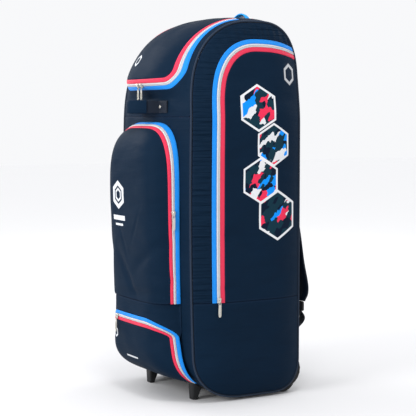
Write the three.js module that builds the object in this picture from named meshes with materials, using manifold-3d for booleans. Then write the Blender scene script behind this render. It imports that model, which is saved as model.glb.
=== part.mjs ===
// Cricket kit bag that stands upright on two front feet and two rear wheels, in millimetres.
// The front with the pockets looks along -Y, the shoulder straps and wheels are on +Y, and Z = 0 is the ground.

import * as THREE from 'three';
import { mergeVertices } from 'three/addons/utils/BufferGeometryUtils.js';
import Module from 'manifold-3d';

const wasm = await Module();
wasm.setup();

// Body
const SEAM_HALF_WIDTH = 180;
const TOP_TAPER = 20;
const TAPER_FROM = 680;
const TAPER_TO = 890;
const BODY_DEPTH = 314;
const BODY_TOP = 935;
const BODY_BOTTOM = 9;
const FRONT_BOW = 12;
const GUSSET_CROWN = 16;
const SIDE_BULGE = 26;
const SIDE_BULGE_REACH = 110;
const CLOTH = 2.4;
const PAN_WALL = 4;
const GAP = 0.3;
const PIPING_RADIUS = 2.2;
const CORNER_POWER = 2.4;

// Heights of the seams, measured up from the ground
const PAN_FRONT_HEIGHT = 40;
const PAN_BACK_HEIGHT = 112;
const SIDE_SEAM_HEIGHT = 250;
const HANDLE_SEAM_HEIGHT = 700;
const BACK_SEAM_HEIGHT = 850;

// Tricolour zip tape: two printed edges with the coil between them
const TAPE_WIDTH = 30;
const COIL_START = 0.36;
const COIL_END = 0.64;
const TAPE_THICKNESS = 2;
const SIDE_TAPE_INSET = 45;
const ARCH_DROP = 16;
const ARCH_TIP = 7;

// Domed top pocket
const DOME_HALF_WIDTH = 156;
const DOME_REACH = 44;
const DOME_FRONT_HEIGHT = 768;
const DOME_CORNER = 52;
const DOME_SHELF = 28;
const DOME_SHOULDER = 32;
const DOME_FALL_LENGTH = 172;
const DOME_END_Y = 4;

// Front pocket
const POCKET_HALF_WIDTH = 144;
const POCKET_TOP = 688;
const POCKET_DEPTH = 66;
const POCKET_LOWER_DEPTH = 56;
const POCKET_CORNER_POWER = 4;
const POCKET_WALL_POWER = 9;
const POCKET_TOP_POWER = 8;
const POCKET_SEAT = 1.7;
const POCKET_TAPE_RIM = 0.055;
const POCKET_TAPE_TOP_RIM = 0.066;

// Shoe pocket under it
const WAIST_HEIGHT = 246;
const SHOE_TAPE_TOP = 208;
const SHOE_HALF_WIDTH = 136;
const SHOE_FLARE = 26;
const SHOE_DEPTH = 60;
const SHOE_BOTTOM = 50;
const SHOE_CORNER = 66;
const SHOE_CORNER_DROP = 46;
const SHOE_TAPE_RIM = 9;
const SHOE_STRIP_GAP = 2.6 * GAP;

// Feet and wheels
const FOOT_X = 115;
const FOOT_Y = 49 - BODY_DEPTH / 2;
const FOOT_HEIGHT = 48;
const FOOT_TOP_WIDTH = 30;
const FOOT_BOTTOM_WIDTH = 22;
const FOOT_TOP_LENGTH = 26;
const FOOT_BOTTOM_LENGTH = 13;
const FOOT_LEAN = 2;
const WHEEL_RADIUS = 36;
const WHEEL_WIDTH = 26;
const WHEEL_X = 146;
const WHEEL_Y = BODY_DEPTH / 2 - 29;
const AXLE_RADIUS = 4;
const WHEEL_CLEARANCE = 4;
const HOUSING_WALL = 4;
const HOUSING_TOP = 100;
const HOUSING_BOTTOM = 13;
const HOUSING_RISE = 22;

// Handles
const HANDLE_HEIGHT = 725;
const HANDLE_WEBBING = 30;
const HANDLE_THICKNESS = 3.5;
const HANDLE_PATCH_END = 88;
const HANDLE_PATCH_START = 50;
const HANDLE_REACH = 58;
const RIVET_RADIUS = 4.5;
const RIVET_HEIGHT = 2.4;
const RIVET_SHARE = 0.66;
const RIVET_SEAT = 0.8;
const HANDLE_CLEARANCE = 1.1;
const TOP_HANDLE_Y = 98;
const TOP_HANDLE_HALF_LENGTH = 78;
const TOP_HANDLE_PATCH = 34;
const TOP_HANDLE_RISE = 15;

// Shoulder straps
const STRAP_X = 88;
const STRAP_WIDTH = 64;
const STRAP_THICKNESS = 13;
const STRAP_TOP_HEIGHT = 820;
const STRAP_BOTTOM_HEIGHT = 219;
const STRAP_STAND_OFF = 52;
const WEBBING_WIDTH = 25;
const WEBBING_THICKNESS = 2.2;
const WEBBING_BOTTOM_HEIGHT = 122;
const WEBBING_SLACK = 24;
const WEBBING_DROP = 1.6;
const BUCKLE_WIDTH = 36;
const BUCKLE_HEIGHT = 26;
const BUCKLE_THICKNESS = 6;

// Zip pullers
const PULLER_WIDTH = 9;
const PULLER_LENGTH = 42;
const PULLER_THICKNESS = 2.4;
const SLIDER_LENGTH = 14;
const SLIDER_WIDTH = 10;
const SLIDER_HEIGHT = 5;
const PULLER_LIFT = 0.3;
const SIDE_PULLER_LIFT = 0.6;
const SHOE_PULLER_X = -70;

// Sizes that follow from those above
const FRONT_Y = -BODY_DEPTH / 2 + FRONT_BOW;
const BACK_Y = BODY_DEPTH / 2;
const SEAM_HEIGHT = BODY_TOP - BODY_BOTTOM;
const MID_Z = (BODY_TOP + BODY_BOTTOM) / 2;
const PANEL_EDGE = PIPING_RADIUS + 3.5 * GAP;

// Corners of the side outline: radii along the depth and the height, as shares of them
const CORNERS = {
  frontTop: { depth: 0.56, height: 0.235 },
  backTop: { depth: 0.34, height: 0.134 },
  backBottom: { depth: 0.26, height: 0.092 },
  frontBottom: { depth: 0.45, height: 0.125 },
};

// Soft folds of the side panels: place, slant in degrees, and size as shares of the body's depth and height
const SIDE_FOLDS = [
  { y: -0.08, z: 0.84, slant: -6, length: 0.2, width: 0.016, depth: 2.6 },
  { y: -0.02, z: 0.4, slant: -24, length: 0.26, width: 0.02, depth: 4.0 },
  { y: -0.12, z: 0.435, slant: -12, length: 0.18, width: 0.014, depth: 2.2 },
  { y: 0.05, z: 0.345, slant: -5, length: 0.4, width: 0.024, depth: 2.6 },
  { y: -0.13, z: 0.64, slant: 2, length: 0.12, width: 0.012, depth: 1.6 },
];

// Drape folds of the front pocket: place, slant and size as shares of its half width and height
const POCKET_FOLDS = [
  { x: 0.3, z: 0.26, slant: 32, length: 0.5, width: 0.032, depth: 5 },
  { x: -0.05, z: 0.13, slant: -52, length: 0.5, width: 0.03, depth: 5 },
  { x: 0.5, z: 0.12, slant: -30, length: 0.4, width: 0.03, depth: 4 },
  { x: -0.45, z: 0.16, slant: 64, length: 0.5, width: 0.03, depth: 4 },
  { x: 0.1, z: 0.035, slant: 5, length: 0.5, width: 0.026, depth: 4 },
];

const CLOTH_FINISH = { color: 0x222f47, roughness: 0.72, metalness: 0 };
const BLUE_FINISH = { color: 0x2ba0f5, roughness: 0.6, metalness: 0 };
const WHITE_FINISH = { color: 0xdcdee0, roughness: 0.55, metalness: 0 };
const RED_FINISH = { color: 0xf5496b, roughness: 0.6, metalness: 0 };
const METAL_FINISH = { color: 0xc8c4b8, roughness: 0.3, metalness: 0.9 };
const RUBBER_FINISH = { color: 0x1a1d1f, roughness: 0.7, metalness: 0 };
const PIPING_FINISH = { color: 0x8ea2b8, roughness: 0.5, metalness: 0 };
const WEBBING_FINISH = { color: 0x151b28, roughness: 0.8, metalness: 0 };

const bag = new THREE.Group();

function clamp(value, low, high) {
  return Math.min(high, Math.max(low, value));
}

function mix(from, to, share) {
  return from + (to - from) * share;
}

function smooth(low, high, value) {
  const share = clamp((value - low) / (high - low), 0, 1);
  return share * share * (3 - 2 * share);
}

function addPiece(name, geometry, finish) {
  const mesh = new THREE.Mesh(geometry, new THREE.MeshStandardMaterial(finish));
  mesh.name = name;
  bag.add(mesh);
  return mesh;
}

// Turns a closed geometry into a solid that can be cut or joined
function solidOf(geometry) {
  const bare = geometry.clone();
  bare.deleteAttribute('normal');
  bare.deleteAttribute('uv');
  const merged = mergeVertices(bare, 1e-4);
  const vertProperties = new Float32Array(merged.attributes.position.array);
  const triVerts = new Uint32Array(merged.index.array);
  return new wasm.Manifold(new wasm.Mesh({ numProp: 3, vertProperties, triVerts }));
}

function geometryOf(solid) {
  const mesh = solid.getMesh();
  const geometry = new THREE.BufferGeometry();
  geometry.setAttribute('position', new THREE.BufferAttribute(mesh.vertProperties, 3));
  geometry.setIndex(new THREE.BufferAttribute(mesh.triVerts, 1));
  return geometry;
}

// A surface of (columns + 1) by (rows + 1) points, place(u, v) giving each one
function gridSurface(columns, rows, place) {
  const points = [];
  const quads = [];
  for (let i = 0; i <= columns; i += 1) {
    for (let j = 0; j <= rows; j += 1) {
      points.push(place(i / columns, j / rows));
    }
  }
  for (let i = 0; i < columns; i += 1) {
    for (let j = 0; j < rows; j += 1) {
      const start = i * (rows + 1) + j;
      quads.push([start, start + rows + 1, start + rows + 2, start + 1]);
    }
  }
  return { points, quads };
}

// A point of a smooth surface with its outward direction, from small steps along p and q
const SMALL_STEP = 0.5;

function onSurface(place, p, q, sign = 1) {
  const point = place(p, q);
  const along = place(p + SMALL_STEP, q).sub(place(p - SMALL_STEP, q));
  const across = place(p, q + SMALL_STEP).sub(place(p, q - SMALL_STEP));
  point.out = along.cross(across).normalize().multiplyScalar(sign);
  return point;
}

// The quads of a surface, turned over where they face against its outward directions
function facingOut({ points, quads }) {
  const [a, b, c, d] = quads[0].map((corner) => points[corner]);
  if (!a.out) {
    return quads;
  }
  const face = new THREE.Vector3().subVectors(c, a).cross(new THREE.Vector3().subVectors(d, b));
  return face.dot(a.out) > 0 ? quads : quads.map((quad) => [...quad].reverse());
}

// Gives an open surface a wall: its back face lies one thickness behind it, and its rim is closed
function thicken(surface, thickness) {
  const { points } = surface;
  const quads = facingOut(surface);
  const normals = points.map(() => new THREE.Vector3());
  const along = new THREE.Vector3();
  const across = new THREE.Vector3();
  for (const [a, b, c, d] of quads) {
    along.subVectors(points[c], points[a]);
    across.subVectors(points[d], points[b]);
    along.cross(across).normalize();
    for (const corner of [a, b, c, d]) {
      normals[corner].add(along);
    }
  }
  const count = points.length;
  const position = [];
  for (const point of points) {
    position.push(point.x, point.y, point.z);
  }
  points.forEach((point, i) => {
    const outward = point.out ?? normals[i].normalize();
    const back = outward.clone().multiplyScalar(-thickness).add(point);
    position.push(back.x, back.y, back.z);
  });
  const edges = new Map();
  const index = [];
  for (const quad of quads) {
    const [a, b, c, d] = quad;
    index.push(a, b, c, a, c, d);
    index.push(a + count, c + count, b + count, a + count, d + count, c + count);
    quad.forEach((from, k) => {
      const to = quad[(k + 1) % quad.length];
      if (!edges.delete(`${to} ${from}`)) {
        edges.set(`${from} ${to}`, [from, to]);
      }
    });
  }
  for (const [from, to] of edges.values()) {
    index.push(to, from, from + count, to, from + count, to + count);
  }
  const geometry = new THREE.BufferGeometry();
  geometry.setAttribute('position', new THREE.Float32BufferAttribute(position, 3));
  geometry.setIndex(index);
  return geometry;
}

// Depth of the folds at a point: each is a long shallow trough with soft ends
function foldDepth(folds, p, q, spanP, spanQ) {
  let total = 0;
  for (const fold of folds) {
    const slant = THREE.MathUtils.degToRad(fold.slant);
    const dp = p - (fold.y ?? fold.x) * spanP;
    const dq = q - fold.z * spanQ;
    const along = (dp * Math.cos(slant) + dq * Math.sin(slant)) / (fold.length * spanP);
    const across = (dq * Math.cos(slant) - dp * Math.sin(slant)) / (fold.width * spanQ);
    total += fold.depth * Math.exp(-along * along * 4 - across * across);
  }
  return total;
}

// Side outline, drawn in by an inset; (a, b) runs round the edge of the square from -1 to 1
const STRAIGHT_ALONG_DEPTH = 0.5;
const STRAIGHT_ALONG_HEIGHT = 0.75;

function cornerAt(front, low) {
  const share = CORNERS[(front ? 'front' : 'back') + (low ? 'Bottom' : 'Top')];
  const radiusY = share.depth * BODY_DEPTH;
  const radiusZ = share.height * SEAM_HEIGHT;
  const y = front ? FRONT_Y + radiusY : BACK_Y - radiusY;
  const z = low ? BODY_BOTTOM + radiusZ : BODY_TOP - radiusZ;
  return { radiusY, radiusZ, y, z };
}

function sideLoop(inset, a, b) {
  const front = a < 0;
  const low = b < 0;
  const corner = cornerAt(front, low);
  const outY = front ? -1 : 1;
  const outZ = low ? -1 : 1;
  const radiusY = corner.radiusY - inset;
  const radiusZ = corner.radiusZ - inset;
  const onLevelSide = Math.abs(b) >= Math.abs(a);
  if (onLevelSide && Math.abs(a) <= STRAIGHT_ALONG_DEPTH) {
    const middle = (corner.y + cornerAt(!front, low).y) / 2;
    const y = mix(middle, corner.y, Math.abs(a) / STRAIGHT_ALONG_DEPTH);
    return { y, z: corner.z + outZ * radiusZ };
  }
  if (!onLevelSide && Math.abs(b) <= STRAIGHT_ALONG_HEIGHT) {
    const middle = (corner.z + cornerAt(front, !low).z) / 2;
    const z = mix(middle, corner.z, Math.abs(b) / STRAIGHT_ALONG_HEIGHT);
    return { y: corner.y + outY * radiusY, z };
  }
  const turnedLevel = (Math.abs(a) - STRAIGHT_ALONG_DEPTH) / (1 - STRAIGHT_ALONG_DEPTH);
  const turnedUpright = (Math.abs(b) - STRAIGHT_ALONG_HEIGHT) / (1 - STRAIGHT_ALONG_HEIGHT);
  const angle = (Math.PI / 4) * (onLevelSide ? 2 - turnedLevel : turnedUpright);
  const reachY = Math.max(Math.cos(angle), 0) ** (2 / CORNER_POWER);
  const reachZ = Math.max(Math.sin(angle), 0) ** (2 / CORNER_POWER);
  return { y: corner.y + outY * radiusY * reachY, z: corner.z + outZ * radiusZ * reachZ };
}

// The front line bows forward at mid height
function bowed(y, z) {
  const height = (z - MID_Z) / (SEAM_HEIGHT / 2);
  const share = clamp(y / FRONT_Y, 0, 1);
  return y - FRONT_BOW * Math.max(0, 1 - height * height) * share;
}

// How far inside the side outline a point lies
function insetAt(y, z) {
  const corner = cornerAt(y < 0, z < MID_Z);
  const fromSide = y < 0 ? y - FRONT_Y : BACK_Y - y;
  const fromEnd = z < MID_Z ? z - BODY_BOTTOM : BODY_TOP - z;
  const partY = (corner.radiusY - fromSide) / corner.radiusY;
  const partZ = (corner.radiusZ - fromEnd) / corner.radiusZ;
  if (partY <= 0 || partZ <= 0) {
    return Math.min(fromSide, fromEnd);
  }
  const reach = (partY ** CORNER_POWER + partZ ** CORNER_POWER) ** (1 / CORNER_POWER);
  const weight = partY * partY + partZ * partZ;
  const radius = (corner.radiusY * partY * partY + corner.radiusZ * partZ * partZ) / weight;
  return (1 - reach) * radius;
}

// Half the distance between the two side seams: the bag narrows towards its top
function seamHalfWidth(z) {
  return SEAM_HALF_WIDTH - TOP_TAPER * smooth(TAPER_FROM, TAPER_TO, z);
}

// The side panels bulge like a pillow, with soft folds pressed into them
const PILLOW_POWER = 2.5;

function sidePoint(side, y, z, lift = 0) {
  const share = clamp(insetAt(y, z) / SIDE_BULGE_REACH, 0, 1);
  const bulge = SIDE_BULGE * (1 - (1 - share) ** PILLOW_POWER);
  const fold = foldDepth(SIDE_FOLDS, y, z - BODY_BOTTOM, BODY_DEPTH, SEAM_HEIGHT) * smooth(0, 0.5, share);
  return new THREE.Vector3(side * (seamHalfWidth(z) + bulge - fold + lift), bowed(y, z), z);
}

// The seam outline as a path round the body, from the middle of the bottom, up the front and over the top
const OUTLINE_STEPS = 60;

function traceOutline() {
  const turns = [[0, -1], [-1, -1], [-1, 1], [1, 1], [1, -1], [0, -1]];
  const path = [];
  for (let k = 0; k + 1 < turns.length; k += 1) {
    for (let i = 0; i < OUTLINE_STEPS; i += 1) {
      const a = mix(turns[k][0], turns[k + 1][0], i / OUTLINE_STEPS);
      const b = mix(turns[k][1], turns[k + 1][1], i / OUTLINE_STEPS);
      const point = sideLoop(0, a, b);
      path.push({ y: bowed(point.y, point.z), z: point.z });
    }
  }
  let run = 0;
  path.forEach((point, i) => {
    const before = path[(i + path.length - 1) % path.length];
    const after = path[(i + 1) % path.length];
    const length = Math.hypot(after.y - before.y, after.z - before.z);
    point.outY = (after.z - before.z) / length * -1;
    point.outZ = (after.y - before.y) / length;
    run += i > 0 ? Math.hypot(point.y - before.y, point.z - before.z) : 0;
    point.run = run;
  });
  return path;
}

const outline = traceOutline();
const outlineLength = outline.at(-1).run + Math.hypot(
  outline[0].y - outline.at(-1).y,
  outline[0].z - outline.at(-1).z,
);

function outlineAt(run) {
  const wrapped = ((run % outlineLength) + outlineLength) % outlineLength;
  let low = 0;
  let high = outline.length - 1;
  while (high - low > 1) {
    const middle = (low + high) >> 1;
    if (outline[middle].run > wrapped) {
      high = middle;
    } else {
      low = middle;
    }
  }
  const from = outline[wrapped >= outline.at(-1).run ? outline.length - 1 : low];
  const to = outline[(outline.indexOf(from) + 1) % outline.length];
  const span = (to.run > from.run ? to.run : outlineLength) - from.run;
  const share = (wrapped - from.run) / span;
  return {
    y: mix(from.y, to.y, share),
    z: mix(from.z, to.z, share),
    outY: mix(from.outY, to.outY, share),
    outZ: mix(from.outZ, to.outZ, share),
  };
}

// Distance along the path at which one of its coordinates first passes a value, between two steps
function crossing(axis, value, from, to) {
  const rising = outline[to - 1][axis] > outline[from][axis];
  for (let i = from + 1; i < to; i += 1) {
    const before = outline[i - 1];
    const after = outline[i];
    if (rising ? after[axis] >= value : after[axis] <= value) {
      const share = (value - before[axis]) / (after[axis] - before[axis]);
      return mix(before.run, after.run, clamp(share, 0, 1));
    }
  }
  return outline[to - 1].run;
}

const frontRun = (height) => crossing('z', height, 0, 2 * OUTLINE_STEPS + 1);
const overTopRun = (y) => crossing('y', y, 2 * OUTLINE_STEPS, 3 * OUTLINE_STEPS + 1);
const backRun = (height) => crossing('z', height, 3 * OUTLINE_STEPS, 4 * OUTLINE_STEPS + 1);

// A point of the strip that runs round the body between the two side seams
const CROWN_POWER = 3;

function gussetPoint(run, x, lift = 0) {
  const seam = outlineAt(run);
  const level = 1 - Math.abs(x / SEAM_HALF_WIDTH) ** CROWN_POWER;
  const crown = GUSSET_CROWN * level * clamp(1 + seam.outZ * 1.6, 0, 1);
  const reach = crown + lift;
  const narrowed = x * seamHalfWidth(seam.z) / SEAM_HALF_WIDTH;
  return new THREE.Vector3(narrowed, seam.y + seam.outY * reach, seam.z + seam.outZ * reach);
}

// The dome swells out of that strip, most of all just above its front edge
const domeStart = frontRun(DOME_FRONT_HEIGHT);
const domeEnd = overTopRun(DOME_END_Y);
const DOME_POWER = 3;
const DOME_DROOP = 0.2;

function domePoint(run, x, lift = 0) {
  const across = clamp(Math.abs(x) / DOME_HALF_WIDTH, 0, 1);
  const rise = smooth(domeStart - DOME_SHELF, domeStart + DOME_SHOULDER, run);
  const fallStart = domeStart + DOME_SHOULDER;
  const fall = 1 - smooth(fallStart, fallStart + DOME_FALL_LENGTH, run);
  const swell = DOME_REACH * rise * fall * (1 - across ** DOME_POWER);
  const seam = outlineAt(run);
  const turned = smooth(domeStart, domeEnd, run);
  const point = gussetPoint(run, x, lift);
  point.y += swell * mix(-1, seam.outY, turned);
  point.z += swell * mix(-DOME_DROOP, seam.outZ, turned);
  return point;
}

const onDome = (x, run) => domePoint(run, x);

// A U in the plane: two legs and a base line joined by round corners; inset draws it in
function uSamples(legSteps, cornerSteps, baseSteps) {
  const samples = [];
  for (let i = 0; i < legSteps; i += 1) {
    samples.push({ side: -1, leg: 1 - i / legSteps });
  }
  for (let i = 0; i < cornerSteps; i += 1) {
    samples.push({ side: -1, turn: i / cornerSteps });
  }
  for (let i = 0; i <= baseSteps; i += 1) {
    samples.push({ side: 1, base: 2 * (i / baseSteps) - 1 });
  }
  for (let i = cornerSteps - 1; i >= 0; i -= 1) {
    samples.push({ side: 1, turn: i / cornerSteps });
  }
  for (let i = legSteps - 1; i >= 0; i -= 1) {
    samples.push({ side: 1, leg: 1 - i / legSteps });
  }
  return samples;
}

function uPoint(shape, sample, insetP, insetQ) {
  const half = shape.half - insetP;
  const radiusP = shape.radiusP - insetP;
  const radiusQ = shape.radiusQ - insetQ;
  if (sample.leg !== undefined) {
    return [sample.side * half, mix(shape.radiusQ, shape.length, sample.leg)];
  }
  if (sample.turn !== undefined) {
    const angle = sample.turn * Math.PI / 2;
    const p = half - radiusP + radiusP * Math.cos(angle);
    return [sample.side * p, shape.radiusQ - radiusQ * Math.sin(angle)];
  }
  return [sample.base * (half - radiusP), insetQ];
}

// Three strips that make up one printed zip tape: tapeEdge(share, sample) places a point across it
function addTape(name, samples, tapeEdge, gapShare) {
  const bands = [
    ['blue', 0, COIL_START, BLUE_FINISH],
    ['white', COIL_START + gapShare, COIL_END, WHITE_FINISH],
    ['red', COIL_END + gapShare, 1, RED_FINISH],
  ];
  for (const [colour, from, to, finish] of bands) {
    const surface = gridSurface(samples.length - 1, 1, (u, v) => {
      const sample = samples[Math.round(u * (samples.length - 1))];
      return tapeEdge(mix(from, to, v), sample);
    });
    addPiece(`${name}_${colour}`, thicken(surface, TAPE_THICKNESS), finish);
  }
}

// Part of the strip round the body, between two stations of its path
function gussetPanel(from, to, columns, rows, half) {
  const place = (x, run) => gussetPoint(run, x);
  return gridSurface(columns, rows, (u, v) => onSurface(place, mix(half, -half, v), mix(from, to, u)));
}

// Strip round the body
function addGussetPanels() {
  const half = SEAM_HALF_WIDTH - PANEL_EDGE;
  const panFrom = backRun(PAN_BACK_HEIGHT);
  const panTo = outlineLength + frontRun(PAN_FRONT_HEIGHT);
  const pan = gussetPanel(panFrom, panTo, 16, 4, half);
  let panSolid = solidOf(thicken(pan, PAN_WALL));
  for (const side of [-1, 1]) {
    panSolid = panSolid.subtract(housingSpace(side, GAP, -WHEEL_RADIUS));
  }
  addPiece('base_pan', geometryOf(panSolid), RUBBER_FINISH);

  const frontFrom = frontRun(PAN_FRONT_HEIGHT) + GAP;
  const frontTo = frontRun(HANDLE_SEAM_HEIGHT) - GAP;
  const front = gussetPanel(frontFrom, frontTo, 10, 6, half);
  addPiece('front_panel', thicken(front, CLOTH), CLOTH_FINISH);

  const topFrom = domeEnd + GAP;
  const backFrom = backRun(BACK_SEAM_HEIGHT);
  const top = gussetPanel(topFrom, backFrom - GAP, 8, 6, half);
  addPiece('top_panel', thicken(top, CLOTH), CLOTH_FINISH);

  const backTo = backRun(PAN_BACK_HEIGHT) - GAP;
  const back = gussetPanel(backFrom, backTo, 8, 6, half);
  addPiece('back_panel', thicken(back, CLOTH), CLOTH_FINISH);
}

// Upper front with the domed pocket: a yoke round it, its tape and its panel
function addDome() {
  const length = domeEnd - domeStart;
  const shape = { half: DOME_HALF_WIDTH, radiusP: DOME_CORNER, radiusQ: DOME_CORNER, length };
  const counts = { leg: 6, corner: 4, base: 6 };
  const samples = uSamples(counts.leg, counts.corner, counts.base);
  const outerHalf = SEAM_HALF_WIDTH - PANEL_EDGE;
  const shelf = domeStart - frontRun(HANDLE_SEAM_HEIGHT) - GAP;
  const yoke = gridSurface(samples.length - 1, 3, (u, v) => {
    const sample = samples[Math.round(u * (samples.length - 1))];
    const [p, q] = uPoint(shape, sample, -GAP, -GAP);
    const outer = { half: outerHalf, radiusP: 8, radiusQ: 8 - shelf, length };
    const [outP, outQ] = uPoint(outer, sample, 0, -shelf);
    return onSurface(onDome, mix(outP, p, v), domeStart + mix(outQ, q, v));
  });
  addPiece('upper_front_panel', thicken(yoke, CLOTH), CLOTH_FINISH);

  addTape('dome_tape', samples, (share, sample) => {
    const inset = share * TAPE_WIDTH;
    const [p, q] = uPoint(shape, sample, inset, inset);
    return onSurface(onDome, p, domeStart + q);
  }, GAP / TAPE_WIDTH);

  const inset = TAPE_WIDTH + GAP;
  const edge = samples.map((sample) => uPoint(shape, sample, inset, inset));
  const panel = insideArch(edge, counts.leg + counts.corner / 2, (p, q) => onSurface(onDome, p, domeStart + q));
  addPiece('dome_panel', thicken(panel, CLOTH), CLOTH_FINISH);
}

// Front of the body at a height, behind the pockets
function frontFaceY(x, z) {
  const height = (z - MID_Z) / (SEAM_HEIGHT / 2);
  const seam = FRONT_Y - FRONT_BOW * (1 - height * height);
  return seam - GUSSET_CROWN * (1 - Math.abs(x / SEAM_HALF_WIDTH) ** CROWN_POWER);
}

// Front pocket: level 1 is its rim on the body, and level 0 the middle of its face
const pocketHeight = POCKET_TOP - WAIST_HEIGHT;
const POCKET_CORNER_SHARE = 0.5;

function pocketPoint(x, z) {
  const upper = clamp((z - mix(WAIST_HEIGHT, POCKET_TOP, POCKET_CORNER_SHARE)) / (pocketHeight / 2), 0, 1);
  const across = Math.abs(x) / POCKET_HALF_WIDTH;
  const reach = across ** POCKET_CORNER_POWER + upper ** POCKET_CORNER_POWER;
  const level = reach ** (1 / POCKET_CORNER_POWER);
  const topShare = reach > 0 ? (upper ** POCKET_CORNER_POWER / reach) ** 3 : 0;
  const power = mix(POCKET_WALL_POWER, POCKET_TOP_POWER, topShare);
  const lower = smooth(POCKET_TOP - pocketHeight * 0.25, WAIST_HEIGHT, z);
  const depth = mix(POCKET_DEPTH, POCKET_LOWER_DEPTH, lower);
  const wall = 1 - clamp(level, 0, 1) ** power;
  const fold = foldDepth(POCKET_FOLDS, x, z - WAIST_HEIGHT, 2 * POCKET_HALF_WIDTH, pocketHeight);
  return new THREE.Vector3(x, frontFaceY(x, z) - POCKET_SEAT - depth * wall + fold * wall, z);
}

// A line round the pocket's wall: share 0 is its rim on the body and 1 the inner edge of the tape
function pocketRim(share, sample) {
  const half = POCKET_HALF_WIDTH * (1 - share * POCKET_TAPE_RIM);
  const rise = pocketHeight / 2 * (1 - share * POCKET_TAPE_TOP_RIM);
  const middle = mix(WAIST_HEIGHT, POCKET_TOP, POCKET_CORNER_SHARE);
  if (sample.leg !== undefined) {
    return [sample.side * half, mix(middle, WAIST_HEIGHT + GAP, sample.leg)];
  }
  const angle = sample.turn * Math.PI / 2;
  const across = Math.max(0, Math.cos(angle)) ** (2 / POCKET_CORNER_POWER);
  const up = Math.sin(angle) ** (2 / POCKET_CORNER_POWER);
  return [sample.side * half * across, middle + rise * up];
}

function pocketSamples(legSteps, turnSteps) {
  const left = [];
  for (let i = 0; i < legSteps; i += 1) {
    left.push({ side: -1, leg: 1 - i / legSteps });
  }
  for (let i = 0; i < turnSteps; i += 1) {
    left.push({ side: -1, turn: i / turnSteps });
  }
  const right = left.map((sample) => ({ ...sample, side: 1 })).reverse();
  return [...left, { side: 1, turn: 1 }, ...right];
}

// Fills an arch given by its rim samples, whose foot is a level line
function insideArch(edge, rows, place) {
  const columns = edge.length - 1 - 2 * rows;
  const left = (j) => edge[j];
  const right = (j) => edge[edge.length - 1 - j];
  return gridSurface(columns, rows, (u, v) => {
    const i = Math.round(u * columns);
    const j = Math.round(v * rows);
    const top = edge[rows + i];
    const blend = [0, 1].map((k) => {
      const foot = mix(left(0)[k], right(0)[k], u);
      const head = mix(left(rows)[k], right(rows)[k], u);
      return mix(left(j)[k], right(j)[k], u) + mix(foot, top[k], v) - mix(foot, head, v);
    });
    return place(blend[0], blend[1]);
  });
}

function flipped(surface) {
  return { points: surface.points, quads: surface.quads.map(([a, b, c, d]) => [a, d, c, b]) };
}

function addFrontPocket() {
  const samples = pocketSamples(6, 8);
  addTape('front_pocket_tape', samples, (share, sample) => {
    const [x, z] = pocketRim(share, sample);
    return onSurface(pocketPoint, x, z);
  }, GAP / TAPE_WIDTH);
  const edge = samples.map((sample) => pocketRim(1 + 1.5 * GAP / TAPE_WIDTH, sample));
  const face = insideArch(edge, 9, (x, z) => onSurface(pocketPoint, x, z));
  addPiece('front_pocket', thicken(face, CLOTH), CLOTH_FINISH);
}

// Shoe pocket: flares towards the ground and rounds under at its foot
function shoeHalfWidth(z) {
  return SHOE_HALF_WIDTH + SHOE_FLARE * clamp((SHOE_TAPE_TOP - z) / (SHOE_TAPE_TOP - SHOE_BOTTOM), 0, 1);
}

const SHOE_WALL_POWER = 7;
const SHOE_FOOT_ROUND = 88;

function shoePoint(x, z) {
  const across = clamp(Math.abs(x) / (shoeHalfWidth(z) + 2), 0, 1);
  const upper = mix(SHOE_DEPTH, POCKET_LOWER_DEPTH, smooth(SHOE_TAPE_TOP - TAPE_WIDTH, WAIST_HEIGHT, z));
  const under = clamp((SHOE_BOTTOM + SHOE_FOOT_ROUND - z) / SHOE_FOOT_ROUND, 0, 1);
  const depth = upper * Math.sqrt(Math.max(0, 1 - under ** 2.4));
  const y = frontFaceY(x, z) - CLOTH - depth * (1 - across ** SHOE_WALL_POWER);
  return new THREE.Vector3(x, y + frontTuck(z), z);
}

// How far the front seam turns back above the base
function frontTuck(z) {
  const corner = cornerAt(true, true);
  const fall = clamp((corner.z - z) / corner.radiusZ, 0, 1);
  return corner.radiusY * (1 - (1 - fall ** CORNER_POWER) ** (1 / CORNER_POWER));
}

function shoeRim(share, sample) {
  const shape = {
    half: SHOE_HALF_WIDTH,
    radiusP: SHOE_CORNER,
    radiusQ: SHOE_CORNER_DROP,
    length: SHOE_TAPE_TOP - SHOE_BOTTOM,
  };
  const [p, q] = uPoint(shape, sample, share * SHOE_TAPE_RIM, share * TAPE_WIDTH * 0.8);
  const z = SHOE_TAPE_TOP - q;
  return [p * shoeHalfWidth(z) / SHOE_HALF_WIDTH, z];
}

function addShoePocket() {
  const counts = { leg: 5, corner: 5, base: 5 };
  const samples = uSamples(counts.leg, counts.corner, counts.base);
  addTape('shoe_pocket_tape', samples, (share, sample) => {
    const [x, z] = shoeRim(share, sample);
    return onSurface(shoePoint, x, z);
  }, SHOE_STRIP_GAP / SHOE_TAPE_RIM);
  const edge = samples.map((sample) => shoeRim(1 + SHOE_STRIP_GAP / SHOE_TAPE_RIM, sample));
  const rows = counts.leg + 2;
  const face = insideArch(edge, rows, (x, z) => onSurface(shoePoint, x, z));
  addPiece('shoe_pocket', thicken(face, CLOTH), CLOTH_FINISH);
  const rimTop = samples.slice(counts.leg, samples.length - counts.leg);
  const band = gridSurface(rimTop.length - 1, 3, (u, v) => {
    const [x, z] = shoeRim(-GAP / SHOE_TAPE_RIM, rimTop[Math.round(u * (rimTop.length - 1))]);
    const half = POCKET_HALF_WIDTH - 2 * GAP;
    const top = mix(-half, half, u);
    return onSurface(shoePoint, mix(x, top, v), mix(z, WAIST_HEIGHT - GAP, v));
  });
  addPiece('shoe_pocket_yoke', thicken(band, CLOTH), CLOTH_FINISH);
}

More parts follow.
